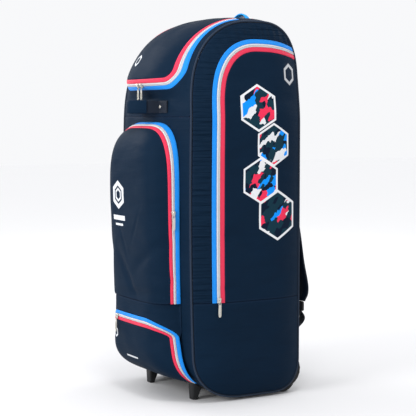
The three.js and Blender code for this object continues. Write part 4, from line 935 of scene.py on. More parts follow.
def cloth_material(name, ink, side_print=False, marks=(), gathers=0.0, mesh_weave=False):
    """Coated woven cloth: colour drift, fine threads, creases, stitches near the seams and optional prints."""
    shader = Shader(name, {"Specular IOR Level": 0.05})
    place = shader.place()
    x, y, z = shader.parts(place)
    u, v, _ = shader.map("weave")
    along, near, _ = shader.map("seam")
    drift = shader.noise(place, 7.0, 4.0)
    fine = shader.noise(place, 140.0, 3.0)
    shade = shader.blend(drift * 0.75 + fine * 0.15, colour(ink), colour(ink, 1.45, 0.001))
    shade = shader.blend(shader.fade(0.0, 0.006, near) * (fine * 0.55), shade, WORN_CLOTH)
    printed = None
    if side_print:
        shade, printed = side_artwork(shader, shade, y, z)
    for kind, centre, size in marks:
        p, q = x - centre[0], z - centre[1]
        if kind == "hexagon":
            reach = hexagon(p, q) / size
            mask = shader.fade(0.96, 1.0, reach) * shader.step(0.62, 0.66, reach)
        else:
            mask = (p.abs() < size[0]) * (q.abs() < size[1])
        shade = shader.blend(mask * 0.92, shade, MARK_GREY)
        printed = mask if printed is None else printed.maximum(mask)
    stitch = shader.stitches(near, STITCH_INSET, along, STITCH_PITCH)
    shade = shader.blend(stitch * 0.5, shade, THREAD_NAVY)
    shade = shader.blend(shader.fade(0.0, 0.0016, near) * 0.6, shade, SEAM_SHADOW)
    pitch, depth = (0.0016, 0.0002) if mesh_weave else (0.0009, 0.00004)
    threads = u.waves(pitch) * v.waves(pitch)
    creases = shader.noise(shader.stretch(place, (9.0, 9.0, 34.0)), 1.0, 4.0, 0.6)
    broad = shader.noise(shader.stretch(place, (5.0, 5.0, 11.0)), 1.0, 2.0)
    relief = shader.bump(broad, 0.014, 0.85)
    relief = shader.bump(creases, 0.0034, 0.6, relief)
    if gathers:
        lines = shader.noise(shader.stretch(place, (7.0, 7.0, 120.0)), 1.0, 3.0, 0.5)
        relief = shader.bump(lines, gathers, 0.8, relief)
    relief = shader.bump(threads, depth, 0.35, relief)
    relief = shader.bump(stitch, 0.0005, 0.8, relief)
    rough = 0.5 + drift * 0.2 + fine * 0.06
    if printed is not None:
        rough = rough - printed * 0.14
    return shader.finish(Base_Color=shade, Roughness=rough, Normal=relief)


def tape_material(name, ink, coil=False):
    """Zip tape: fine ribs along its length; the coil has rows of teeth with a dark line between them."""
    shader = Shader(name, {"Sheen Weight": 0.03, "Specular IOR Level": 0.22})
    place = shader.place()
    u, v, _ = shader.map("weave")
    drift = shader.noise(place, 18.0, 3.0)
    fine = shader.noise(place, 260.0, 2.0)
    dark = colour(ink, 0.72)
    shade = shader.blend(drift * 0.5 + fine * 0.22, colour(ink), dark)
    if coil:
        teeth = u.waves(0.0024)
        groove = shader.fade(0.0, 0.0007, (v - 0.0042).abs())
        shade = shader.blend((teeth < 0.0) * 0.28, shade, TOOTH_GREY)
        shade = shader.blend(groove * 0.7, shade, GROOVE_GREY)
        relief = shader.bump(teeth, 0.0006, 0.8)
        relief = shader.bump(groove, -0.001, 0.7, relief)
    else:
        stitch = shader.stitches(v, 0.0022, u, 0.0034)
        shade = shader.blend(stitch * 0.35, shade, dark)
        relief = shader.bump(v.waves(0.0013) * u.waves(0.0011), 0.0002, 0.5)
        relief = shader.bump(stitch, 0.0006, 0.8, relief)
    return shader.finish(Base_Color=shade, Roughness=0.5 + drift * 0.16, Normal=relief)


def webbing_material(name, ink):
    """Woven strap: a herringbone of ribs along and across, with soft colour drift."""
    shader = Shader(name, {"Sheen Weight": 0.03, "Specular IOR Level": 0.2})
    u, v, _ = shader.map("weave")
    drift = shader.noise(shader.place(), 24.0, 3.0)
    ribs = (u * (2 * math.pi / 0.0016) + v.waves(0.004) * 1.4).sine()
    shade = shader.blend((ribs * 0.5 + 0.5) * 0.5 + drift * 0.3, colour(ink), colour(ink, 1.9, 0.002))
    return shader.finish(Base_Color=shade, Roughness=0.62 + drift * 0.2, Normal=shader.bump(ribs, 0.0004, 0.7))


def plastic_material(name, ink, grain=0.00012, rough=0.42):
    """Moulded plastic or rubber: fine spark grain, faint scuffs and dust low down."""
    shader = Shader(name, {"Specular IOR Level": 0.3})
    place = shader.place()
    fine = shader.noise(place, 900.0, 2.0)
    scuff = shader.noise(shader.stretch(place, (60.0, 60.0, 190.0)), 1.0, 4.0, 0.65)
    marks = shader.step(0.6, 0.75, scuff)
    dust = shader.fade(0.0, 0.03, shader.parts(place)[2]) * scuff
    shade = shader.blend(marks * 0.25 + dust * 0.3, colour(ink), DUST)
    relief = shader.bump(fine, grain, 0.6)
    return shader.finish(Base_Color=shade, Roughness=rough + marks * 0.2 + fine * 0.08, Normal=relief)


def metal_material(name, ink):
    """Satin plated metal: brushed streaks and slightly duller edges."""
    shader = Shader(name, {"Metallic": 0.92})
    place = shader.place()
    streaks = shader.noise(shader.stretch(place, (900.0, 900.0, 60.0)), 1.0, 3.0)
    shade = shader.blend(shader.noise(place, 90.0, 3.0) * 0.4, colour(ink), colour(ink, 0.6))
    relief = shader.bump(streaks, 0.00005, 0.5)
    return shader.finish(Base_Color=shade, Roughness=0.24 + streaks * 0.16, Normal=relief)


# Finishes and pieces

# Each finish: the function that makes it, its material's name, the setting that colours it and its options
MATERIALS = {
    "cloth": (cloth_material, "navy_cloth", "cloth", {"gathers": 0.0012}),
    "front cloth": (cloth_material, "navy_cloth_front", "cloth", {"marks": FRONT_MARKS}),
    "dome cloth": (cloth_material, "navy_cloth_dome", "cloth", {"marks": DOME_MARKS}),
    "shoe cloth": (cloth_material, "navy_cloth_shoe", "cloth", {"marks": SHOE_MARKS}),
    "flap cloth": (cloth_material, "navy_cloth_side", "cloth", {"side_print": True}),
    "strip cloth": (cloth_material, "navy_cloth_strip", "cloth", {"gathers": 0.014}),
    "pad mesh": (cloth_material, "dark_air_mesh", "webbing", {"mesh_weave": True}),
    "blue": (tape_material, "tape_blue", "blue", {}),
    "coil": (tape_material, "tape_coil", "grey", {"coil": True}),
    "red": (tape_material, "tape_red", "red", {}),
    "piping": (webbing_material, "piping_cord", "piping", {}),
    "webbing": (webbing_material, "dark_webbing", "webbing", {}),
    "blue webbing": (webbing_material, "webbing_blue", "blue", {}),
    "white webbing": (webbing_material, "webbing_grey", "grey", {}),
    "red webbing": (webbing_material, "webbing_red", "red", {}),
    "plastic": (plastic_material, "black_plastic", "plastic", {}),
    "rubber": (plastic_material, "wheel_rubber", "plastic", {"grain": 0.0002, "rough": 0.58}),
    "metal": (metal_material, "puller_metal", "metal", {}),
}
SHIFT = shift_y()
FINISHES = {}


def finish(kind):
    """The material of that kind, made once from the settings."""
    if kind not in FINISHES:
        maker, name, setting, options = MATERIALS[kind]
        FINISHES[kind] = maker(name, getattr(bpy.context.scene.kit_bag, setting), **options)
    return FINISHES[kind]


def centre_of(node):
    """Middle of a solid's box in the drawing's own coordinates."""
    low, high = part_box(node)
    return (np.array(low) + np.array(high)) / 2 / MM - [0, SHIFT, 0]


def radial(points):
    """Directions away from the body's middle line."""
    return points * [0, 1, 1] - [0, 0, MID_Z]


def forward(points):
    """Directions forward and away from a pocket's middle line."""
    return points * [1, 0, 0] + [0, -150, 0]


def roughened(points, height, p, q, scale):
    """Points of the strip round the body, moved along their normals by a small relief."""
    normal, _ = facing(points, radial(points))
    return points + normal * (height * ripple(p, q, scale))[..., None]


def cloth_piece(name, node, points, hint, kind="cloth"):
    """A walled panel of cloth that replaces its solid."""
    piece = skin(name, points, hint, finish(kind))
    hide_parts(node)


def zip_tape(name, node, place, hint):
    """Three bands of a zip: flat blue and red edges and a rounded coil between them, each replacing its solid."""
    steps = np.linspace(0, 1, 9)
    for band, start, end, kind, height, power in TAPE_BANDS:
        points = place(mix(start, end, steps))
        direction = hint(points) if callable(hint) else hint
        normal, _ = facing(points, direction)
        lifted = points + normal * (height * np.sin(np.pi * steps) ** power)[None, :, None]
        weave = points_of(edge_distances(points)[0].mean(1)[:, None], TAPE_WIDTH * (end - start) * steps[None]) * MM
        piece = skin(f"{name}_{band}", lifted, direction, finish(kind),
                     TAPE_THICKNESS, "cd", (0.4, 0.9), weave)
        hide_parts(f"{node}_{band}")


def strip_panel(name, node, start, end, rows, kind="cloth"):
    """Part of the strip round the body between two stations, over the whole width."""
    half = SEAM_HALF_WIDTH - PANEL_EDGE
    points = gusset(np.linspace(-half, half, 90)[:, None], np.linspace(start, end, rows)[None])
    points = roughened(points, 0.5, points[..., 0], points[..., 2] + points[..., 1], 17.0)
    cloth_piece(name, node, points, radial(points), kind)


def build_body():
    """Front, top and back panels of the strip, and the plastic of the base and the wheel housings."""
    low, high = front_run(PAN_FRONT_HEIGHT), front_run(HANDLE_SEAM_HEIGHT)
    back = back_run(BACK_SEAM_HEIGHT)
    strip_panel("body_front", "front_panel", low + GAP, high + FRONT_OVERLAP, 140)
    strip_panel("body_top", "top_panel", DOME_END + TOP_OVERLAP, back - TOP_OVERLAP, 80)
    strip_panel("body_back", "back_panel", back, back_run(PAN_BACK_HEIGHT) - GAP, 120, "pad mesh")
    for node in ("base_pan", "wheel_housing_left", "wheel_housing_right"):
        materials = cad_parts[node].data.materials
        materials.clear()
        materials.append(finish("plastic"))


def build_dome():
    """Upper front: the yoke round the domed pocket, its zip and its panel."""
    length = DOME_END - DOME_START
    shape = (DOME_HALF_WIDTH, DOME_CORNER, DOME_CORNER, length)
    counts = (84, 48, 84)
    shelf = DOME_START - front_run(HANDLE_SEAM_HEIGHT) - GAP

    def place(plane):
        return dome(plane[..., 0], DOME_START + plane[..., 1])

    def tape(share):
        return place(u_rim(shape, share * TAPE_WIDTH, share * TAPE_WIDTH, counts))

    inner = u_rim(shape, -GAP, -GAP, counts)
    outer = u_rim((SEAM_HALF_WIDTH - PANEL_EDGE, 8, 8 - shelf, length), 0.0, -shelf, counts)
    points = place(mix(outer, inner, np.linspace(0, 1, 34)[None, :, None]))
    points = roughened(points, 0.5, points[..., 0], points[..., 2], 15.0)
    cloth_piece("upper_front", "upper_front_panel", points, radial(points))
    zip_tape("dome_zip", "dome_tape", tape, radial)
    edge = u_rim(shape, TAPE_WIDTH + GAP, TAPE_WIDTH + GAP, counts)[:, 0]
    points = place(inside_rim(edge, counts[0] + counts[1] // 2))
    points = roughened(points, 0.7, points[..., 0], points[..., 2], 22.0)
    cloth_piece("dome", "dome_panel", points, radial(points), "dome cloth")


def pocket_rim(share, counts):
    """Lines round the front pocket's wall: legs below, a super-elliptic arch above, drawn in by a share."""
    share = np.atleast_1d(share).astype(float)[None]
    half = POCKET_HALF_WIDTH * (1 - share * POCKET_TAPE_RIM)
    rise = POCKET_HEIGHT / 2 * (1 - share * POCKET_TAPE_TOP_RIM)
    legs = (1 - np.arange(counts[0]) / counts[0])[:, None]
    turn = (np.arange(counts[1]) / counts[1] * np.pi / 2)[:, None]
    power = 2 / POCKET_CORNER_POWER
    leg = points_of(-half, mix(POCKET_MIDDLE, WAIST_HEIGHT + GAP, legs))
    bend = points_of(-half * np.cos(turn) ** power, POCKET_MIDDLE + rise * np.sin(turn) ** power)
    left = np.concatenate([leg, bend])
    return np.concatenate([left, points_of(0 * half, POCKET_MIDDLE + rise), left[::-1] * [-1, 1]])


def build_front_pocket():
    """Front pocket: its zip and its draped face."""
    def samples(share):
        lines = pocket_rim(share, (60, 150))
        run = path_length(lines[:, 0])
        at = np.linspace(0, run[-1], 260)
        columns = np.moveaxis(lines, 1, 0)
        return np.stack([points_of(*(np.interp(at, run, line[:, k]) for k in (0, 1))) for line in columns], 1)

    def tape(share):
        return on(pocket, samples(share))

    def hint(points):
        return forward(points) + (points - [0, 0, POCKET_MIDDLE]) * [0, 0, 0.6]

    zip_tape("front_pocket_zip", "front_pocket_tape", tape, hint)
    edge = samples(np.array([1 + 1.5 * GAP / TAPE_WIDTH]))[:, 0]
    points = on(pocket, inside_rim(edge, 88))
    points[..., 1] -= 0.7 * ripple(points[..., 0], points[..., 2], 24.0)
    cloth_piece("front_pocket_face", "front_pocket", points, FRONT, "front cloth")


def build_shoe_pocket():
    """Shoe pocket at the foot: its zip, its face and the band above it."""
    shape = (SHOE_HALF_WIDTH, SHOE_CORNER, SHOE_CORNER_DROP, SHOE_TAPE_TOP - SHOE_BOTTOM)
    counts = (50, 50, 60)

    def rim(share):
        plane = u_rim(shape, share * SHOE_TAPE_RIM, share * TAPE_WIDTH * SHOE_TAPE_LEVEL, counts)
        z = SHOE_TAPE_TOP - plane[..., 1]
        return points_of(plane[..., 0] * shoe_half_width(z) / SHOE_HALF_WIDTH, z)

    def tape(share):
        return on(shoe, rim(share))

    def rippled(plane, height, scale):
        return on(shoe, plane, height * ripple(plane[..., 0], plane[..., 1], scale))

    zip_tape("shoe_pocket_zip", "shoe_pocket_tape", tape, forward)
    edge = rim(np.array([1.03]))[:, 0]
    points = rippled(inside_rim(edge, counts[0] + counts[1] // 2), 0.9, 20.0)
    cloth_piece("shoe_pocket_face", "shoe_pocket", points, FRONT, "shoe cloth")
    line = rim(np.array([-GAP / SHOE_TAPE_RIM]))[counts[0]:-counts[0], 0]
    half = POCKET_HALF_WIDTH - 2 * GAP
    top = points_of(np.linspace(-half, half, len(line)), WAIST_HEIGHT - GAP)
    points = rippled(mix(line[:, None], top[:, None], np.linspace(0, 1, 26)[None, :, None]), 0.8, 14.0)
    cloth_piece("shoe_pocket_band", "shoe_pocket_yoke", points, FRONT)


def build_side(side, label):
    """One side panel: the gathered strip, the zip, the printed flap and the lower panel."""
    hint = np.array([float(side), 0.0, 0.0])
    counts = (210, 90, 70)

    def place(plane, lift=0.0):
        return side_wall(side, plane[..., 0], plane[..., 1], lift)

    def tape(share):
        return place(arch(SIDE_TAPE_INSET + TAPE_WIDTH * share, counts))

    def eased(plane, height, stretch_y, stretch_z, scale):
        y, z = plane[..., 0], plane[..., 1]
        return height * ripple(y * stretch_y, z * stretch_z, scale) * smooth(0, 40, inset_at(y, z))

    edge = arch(SIDE_TAPE_INSET - GAP, counts)[:, 0]
    share = np.linspace(0, 1, 22)
    run = path_length(edge)[:, None]
    folds = np.sin(run / GATHER_PITCH + 1.6 * np.sin(run / 23.0)) * 0.6 + 0.6 * ripple(run, share[None] * 40, 9.0)
    gathers = bpy.context.scene.kit_bag.gather_depth * np.sin(np.pi * share)[None] * folds
    points = place(mix(arch_rim(counts)[:, None], edge[:, None], share[None, :, None]), gathers)
    cloth_piece(f"side_strip_{label}", f"surround_{label}", points, hint, "strip cloth")
    zip_tape(f"side_zip_{label}", f"side_tape_{label}", tape, hint)

    rise, *_ = flap_counts = (120, 58, 50)
    line = arch(SIDE_TAPE_INSET + TAPE_WIDTH + GAP, flap_counts)[:, 0]
    z = np.linspace(SIDE_SEAM_HEIGHT + GAP, line[-1, 1], rise + 1)
    plane = inside_arch(line[:rise + 1], points_of(rear_seam_y(z), z), line[rise:])
    points = place(plane, eased(plane, 0.8, 0.6, 1.4, 19.0))
    cloth_piece(f"side_flap_{label}_cloth", f"side_flap_{label}", points, hint, "flap cloth")

    foot = points_of(*side_loop(PANEL_EDGE, np.linspace(-1, 1, 130), -1.0))
    plane = inside_arch(lower_leg(-1, 70), lower_leg(1, 70), foot)
    points = place(plane, eased(plane, 0.7, 1.0, 1.0, 26.0))
    cloth_piece(f"side_lower_{label}", f"lower_side_{label}", points, hint)


def build_sides():
    """Both side panels with their zips."""
    for side, label in SIDES:
        build_side(side, label)


def seam_rings(side, radius, inset):
    """A circle carried along a side seam's outline, drawn in by an inset."""
    run = np.linspace(0, OUTLINE_LENGTH, 460, endpoint=False)
    y, z, out_y, out_z = (values[:, None] for values in outline_at(run))
    c, s = circle(12)
    reach = radius * c[None] - inset
    x = side * (seam_half_width(z) - inset) + radius * s[None]
    return points_of(x, y + out_y * reach, z + out_z * reach)


def build_piping():
    """Round cord in each side seam, and the dark filler behind it."""
    for side, label in SIDES:
        cord, core = seam_rings(side, PIPING_RADIUS, 0.0), seam_rings(side, CORE_RADIUS, CORE_INSET)
        piece = loft(f"seam_piping_{label}", cord, finish("piping"), closed=True)
        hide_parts(f"piping_{label}")
        loft(f"seam_core_{label}", core, finish("webbing"), closed=True)


def pan_underside(y):
    """Height of the base's underside at a depth in its front half."""
    run = np.linspace(0, OUTLINE_LENGTH * 0.12, 300)
    line = gusset(np.full_like(run, FOOT_X), run)
    return np.interp(-y, -line[:, 1], line[:, 2])


def build_feet():
    """Front feet: a rounded tapered block whose top follows the base."""
    front = FOOT_Y - FOOT_TOP[1] / 2
    for side, label in SIDES:
        rings = []
        for share, grow in FOOT_RINGS:
            width = mix(FOOT_BOTTOM[0], FOOT_TOP[0], share) / 2 + grow
            depth = mix(FOOT_BOTTOM[1], FOOT_TOP[1], share) / 2 + grow
            middle = mix(front + FOOT_LEAN + FOOT_BOTTOM[1] / 2, FOOT_Y, share)
            x, y = super_ring(40, width, depth, 6)
            rings.append(points_of(side * FOOT_X + x, middle + y, share))
        rings = np.stack(rings)
        rings[..., 2] *= pan_underside(rings[..., 1]) - GAP
        rings[0, :, 2] = 0.0
        rings[1, :, 2] = 0.5
        piece = loft(f"front_foot_{label}", rings, finish("plastic"))
        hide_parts(f"foot_{label}")


def wheel_rings():
    """Closed profile of a wheel turned about the X axis, with ribs on the hub and treads on the tyre."""
    half = WHEEL_WIDTH / 2
    tread = np.linspace(-0.72, 0.72, 17) * half
    outer = np.array(HUB_PROFILE) * [1, -half]
    crown = points_of(WHEEL_RADIUS - 0.5 * (tread / half) ** 4, tread)
    profile = np.concatenate([outer, crown, outer[::-1] * [1, -1]])
    angle = (np.arange(WHEEL_STEPS) / WHEEL_STEPS * 2 * np.pi)[:, None]
    radius, width = profile[None, :, 0], profile[None, :, 1]
    ribs = smooth(0.72, 0.95, np.cos(6 * angle)) * smooth(12.0, 13.5, radius) * (1 - smooth(23.5, 25.2, radius))
    groove = (np.abs(np.abs(width) / half - 0.3) < 0.05) * (radius > 34)
    lugs = 0.5 * (np.cos(48 * angle) > 0.7) * (radius > 35) * (np.abs(width) > half * 0.45)
    worn = radius - 0.7 * groove - lugs
    return points_of(width * (1 + 0.34 * ribs * (radius < 26)), worn * np.cos(angle), worn * np.sin(angle))


def build_wheels():
    """Rear wheels: a turned tyre with shallow treads and a dished hub with ribs."""
    turned = wheel_rings()
    quads, _ = turned_out(turned, grid_quads(*turned.shape[:2], True, True))
    for side, label in SIDES:
        rings = turned + [side * WHEEL_X, WHEEL_Y, WHEEL_RADIUS]
        piece = make_object(f"rear_wheel_{label}", rings, quads, {}, finish("rubber"), f"{label}_wheel")
        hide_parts(f"wheel_{label}")


def strap_line(count):
    """Heights and stand-offs of the shoulder strap, spread evenly and smoothed between the table's rows."""
    rows = STRAP_ROWS[::-1]
    height = np.linspace(0, 1, count)
    return height, softened(np.interp(height, rows[:, 0], rows[:, 1]), 15)


def build_pad(side, label):
    """Padded shoulder strap: a quilted section on the strap's path, its bound edges and its face band."""
    height, off = strap_line(STRAP_STEPS)
    z = mix(STRAP_BOTTOM_HEIGHT, STRAP_TOP_HEIGHT, height)
    base = gusset(np.full_like(z, side * STRAP_X), back_run(z))
    path = points_of(side * STRAP_X, base[:, 1] + GAP + PAD_SEAT + off * STRAP_STAND_OFF, z)
    tip = 1 - PAD_TIP_NARROWING * np.exp(-((height / PAD_TIP_LENGTH) ** 2))
    width = STRAP_WIDTH * mix(PAD_LOW_WIDTH, 1, smooth(0, 0.3, height)) * tip
    normal = np.cross(unit(np.gradient(path, axis=0)), ACROSS)
    a, b = super_ring(56, 1.0, 1.0, PAD_POWER)
    quilt = 1 - QUILT_DEPTH * smooth(0.9, 1.0, np.cos(2 * np.pi * height * QUILT_ROWS))[:, None]
    thick = PAD_HALF_THICKNESS * quilt * (1 - 0.35 * np.abs(a[None]) ** 3)
    rings = path[:, None] + normal[:, None] * (b[None] * thick)[..., None]
    rings[..., 0] = path[:, None, 0] + a[None] * width[:, None] / 2
    pad = loft(f"strap_pad_{label}", rings, finish("pad mesh"))
    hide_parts(f"shoulder_strap_{label}")
    c, s = circle(10)
    for edge, place in ((-1, "inner"), (1, "outer")):
        line = path + ACROSS * (edge * width / 2)[:, None]
        ring = line[:, None] + c[None, :, None] * ACROSS * BINDING_HALF_WIDTH
        ring = ring + s[None, :, None] * normal[:, None] * BINDING_HALF_HEIGHT
        loft(f"strap_binding_{label}_{place}", ring, finish("webbing"))
    inner = slice(10, -6)
    face = path[inner] + normal[inner] * (PAD_HALF_THICKNESS + 0.6) * np.sign(normal[inner, 1:2])
    ribbon(f"strap_band_{label}", face, ACROSS, WEBBING_WIDTH, PAD_BAND_THICKNESS, finish("webbing"))


def build_buckle(label, centre):
    """Ladder buckle: a bevelled frame with two bars across its window."""
    outer = points_of(*super_ring(64, BUCKLE_SIZE[0] / 2, BUCKLE_SIZE[1] / 2, 7))
    window = points_of(*super_ring(64, *BUCKLE_WINDOW, 8))
    rings = centre + plate_rings(outer, window, BUCKLE_SIZE[2], BUCKLE_BEVEL)[..., [0, 2, 1]]
    buckle = loft(f"strap_ladder_{label}", rings, finish("plastic"), closed=True)
    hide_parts(f"strap_buckle_{label}")
    y, z = super_ring(24, *BUCKLE_BAR_HALVES, 3)
    x = np.linspace(-1, 1, 5)[:, None] * (WEBBING_WIDTH / 2 + 1.4)
    for place, level in BUCKLE_BARS:
        rings = points_of(x, y[None] + 1.0, z[None] + level) + centre
        loft(f"strap_bar_{label}_{place}", rings, finish("plastic"))


def build_tail(side, label, centre):
    """Lower webbing: behind the buckle's bars, then a slack bow down to its anchor on the back panel."""
    anchor = gusset(np.array(side * STRAP_X), back_run(WEBBING_BOTTOM_HEIGHT), GAP + WEBBING_THICKNESS)
    start = np.array([side * STRAP_X, centre[1], centre[2] - BUCKLE_SIZE[1] / 2 - WEBBING_DROP])
    share = np.linspace(0, 1, 60)
    tail = mix(start[None], anchor[None], share[:, None])
    tail[:, 1] += WEBBING_SLACK * np.sin(np.pi * share**WEBBING_SLACK_HIGH) ** 1.6
    reach = BUCKLE_SIZE[1] * 0.45
    through = points_of(centre[0], centre[1] - 2.0, np.linspace(centre[2] + reach, centre[2] - reach, 12))
    tail = np.concatenate([through, tail])
    webbing = finish("webbing")
    piece = ribbon(f"strap_tail_{label}", tail, ACROSS, WEBBING_WIDTH, TAIL_THICKNESS, webbing)
    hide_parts(f"strap_webbing_{label}")


def build_straps():
    """Padded shoulder straps with bound edges, their buckles and webbing."""
    for side, label in SIDES:
        centre = centre_of(f"strap_buckle_{label}")
        build_pad(side, label)
        build_buckle(label, centre)
        build_tail(side, label, centre)


def plate_rings(outer, inner, thickness, bevel):
    """Section steps of a flat ring: out along its underside, over its edge, back along its top and down its hole."""
    low, high = -thickness / 2, thickness / 2
    steps = (
        (0.06, low), (0.86, low), (1.0, low + bevel), (1.0, high - bevel),
        (0.86, high), (0.06, high), (0.0, high - bevel * 0.5), (0.0, low + bevel * 0.5),
    )
    return np.stack([np.insert(mix(inner, outer, share), 2, level, axis=1) for share, level in steps])


def build_handles():
    """Front grab handle with its grip, patches and rivets, and the striped handle on top."""
    share = np.linspace(-1, 1, 150)
    x = share * HANDLE_PATCH_END
    low, high = (front_run(np.full_like(x, HANDLE_HEIGHT + half)) for half in (-HANDLE_WEBBING / 2, HANDLE_WEBBING / 2))
    face = (dome(x, low)[:, 1] + dome(x, high)[:, 1]) / 2
    loose = np.clip(1 - np.abs(x) / HANDLE_PATCH_START, 0, 1)
    y = face - HANDLE_CLEARANCE - HANDLE_THICKNESS / 2 - HANDLE_REACH * (1 - (1 - loose) ** 2)
    path = points_of(x, softened(y, 9), HANDLE_HEIGHT)
    upward = np.array([0, 0, 1.0])
    band = ribbon("front_grab_band", path, upward, HANDLE_WEBBING, HANDLE_THICKNESS, finish("webbing"))
    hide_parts("front_handle")
    grip = np.abs(share) < GRIP_SHARE
    ribbon("front_grab_grip", path[grip], upward, HANDLE_WEBBING + 3.4, HANDLE_THICKNESS + 6.5,
           finish("cloth"), power=3.4)
    angle = np.linspace(0, np.pi / 2, 9)
    radius = np.concatenate([[4.4], RIVET_HEAD_RADIUS * np.cos(angle)])[:, None]
    depth = np.concatenate([[1.2], 0.6 - RIVET_HEAD_HEIGHT * np.sin(angle)])[:, None]
    radius[-1] = 0.05
    c, s = circle(32)
    for _, label in SIDES:
        rings = centre_of(f"rivet_{label}") + points_of(radius * c, depth, radius * s)
        piece = loft(f"grab_rivet_{label}", rings, finish("metal"))
        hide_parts(f"rivet_{label}")

    run = over_top_run(TOP_HANDLE_Y)
    share = np.linspace(-1, 1, 120)[:, None]
    loose = np.clip(1 - np.abs(share) / (1 - TOP_HANDLE_PATCH / TOP_HANDLE_HALF), 0, 1)
    rise = (TOP_HANDLE_RISE + 3.0) * (1 - (1 - loose) ** 2)
    for band, start, end in TOP_HANDLE_BANDS:
        across = HANDLE_WEBBING * np.linspace(start, end, 8)[None]
        points = gusset(share * TOP_HANDLE_HALF, run + across, GAP + HANDLE_THICKNESS + rise)
        piece = skin(f"top_grab_{band}", points, np.array([0, 0.2, 1.0]), finish(f"{band} webbing"),
                     HANDLE_THICKNESS - 0.4, "abcd", (0.5, 1.2))
        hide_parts(f"top_handle_{band}")


def axes_of(out):
    """Sideways, upward and outward directions of a piece that faces out."""
    out = unit(np.asarray(out, float))
    up = unit(np.array([0.0, 0.0, 1.0]) - out * out[2])
    return np.stack([np.cross(up, out), up, out])


def puller(name, node, place, out, hang=None):
    """Zip slider and pull tab: a bevelled block with a bridge, and a long tapered ring that hangs from it."""
    axes = axes_of(out)
    place = place + axes[2] * GAP
    tab_axes = axes if hang is None else axes_of(hang)
    tab_place = place + PULLER_PIVOT @ axes - PULLER_PIVOT @ tab_axes

    def metal(suffix, rings, turned=axes, origin=place, closed=False):
        return loft(name + suffix, rings @ turned + origin, finish("metal"), closed=closed)

    rings = []
    for level, grow in SLIDER_RINGS:
        a, b = super_ring(36, SLIDER_HALVES[0] + grow, SLIDER_HALVES[1] + grow, 3.6)
        waist = 1 - 0.18 * np.exp(-(((b + 3) / 3.2) ** 2))
        rings.append(points_of(a * waist, b, level))
    slider = metal("", np.stack(rings))
    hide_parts(node)
    angle = np.linspace(0, np.pi, 15)
    arc = points_of(0.0, BRIDGE_REACH * np.cos(angle) + 0.6, 2.2 + BRIDGE_RISE * np.sin(angle))
    a, b = super_ring(16, *BRIDGE_HALVES, 3)
    normal = np.cross(unit(np.gradient(arc, axis=0)), ACROSS)
    metal("_bridge", arc[:, None] + a[None, :, None] * ACROSS + b[None, :, None] * normal[:, None])
    a, b = super_ring(72, 1.0, 1.0, TAB_POWER)
    width = a * (TAB_HALF_WIDTH + TAB_FLARE * (0.5 - 0.5 * b))
    outline = points_of(width, b * (PULLER_LENGTH / 2 - 1.0) - PULLER_LENGTH / 2)
    rings = (TAB_HOLE, RIM_OUTER, RIM_INNER)
    hole, outer, inner = (points_of(a * half, b * reach - drop) for half, reach, drop in rings)
    metal("_tab", plate_rings(outline, hole, *TAB_PLATE) + [0, 0, TAB_LEVEL], tab_axes, tab_place, True)
    metal("_rim", plate_rings(outer, inner, *RIM_PLATE) + [0, 0, RIM_LEVEL], tab_axes, tab_place, True)


def seated(surface, p, q, hint, step=0.5):
    """Place just above a surface and its outward direction, from small steps along both parameters."""
    p, q = np.array(p), np.array(q)
    out = unit(np.cross(surface(p + step, q) - surface(p - step, q), surface(p, q + step) - surface(p, q - step)))
    out = out if np.dot(out, hint) > 0 else -out
    return surface(p, q) + out * PULLER_SEAT, out


def build_pullers():
    """A slider and pull tab on each zip, where the solids have them."""
    middle = (COIL_START + COIL_END) / 2
    for side, label in SIDES:
        y = np.array(FRONT_Y + SIDE_TAPE_INSET + TAPE_WIDTH * middle)
        place = side_wall(side, y, np.array(SIDE_SEAM_HEIGHT + SIDE_PULLER_RISE), 1.4)
        puller(f"side_slider_{label}", f"side_puller_{label}", place, (side, 0, 0))
        place, out = seated(dome, side * DOME_PULLER_X, DOME_START + TAPE_WIDTH * middle, FRONT)
        puller(f"dome_slider_{label}", f"dome_puller_{label}", place, out, FRONT)
    place, out = seated(pocket, POCKET_HALF_WIDTH * (1 - middle * POCKET_TAPE_RIM), POCKET_MIDDLE, (1, -1, 0))
    puller("front_pocket_slider", "front_pocket_puller", place, out)
    place, out = seated(shoe, SHOE_PULLER_X, SHOE_TAPE_TOP - TAPE_WIDTH * middle, FRONT)
    puller("shoe_pocket_slider", "shoe_pocket_puller", place, out)


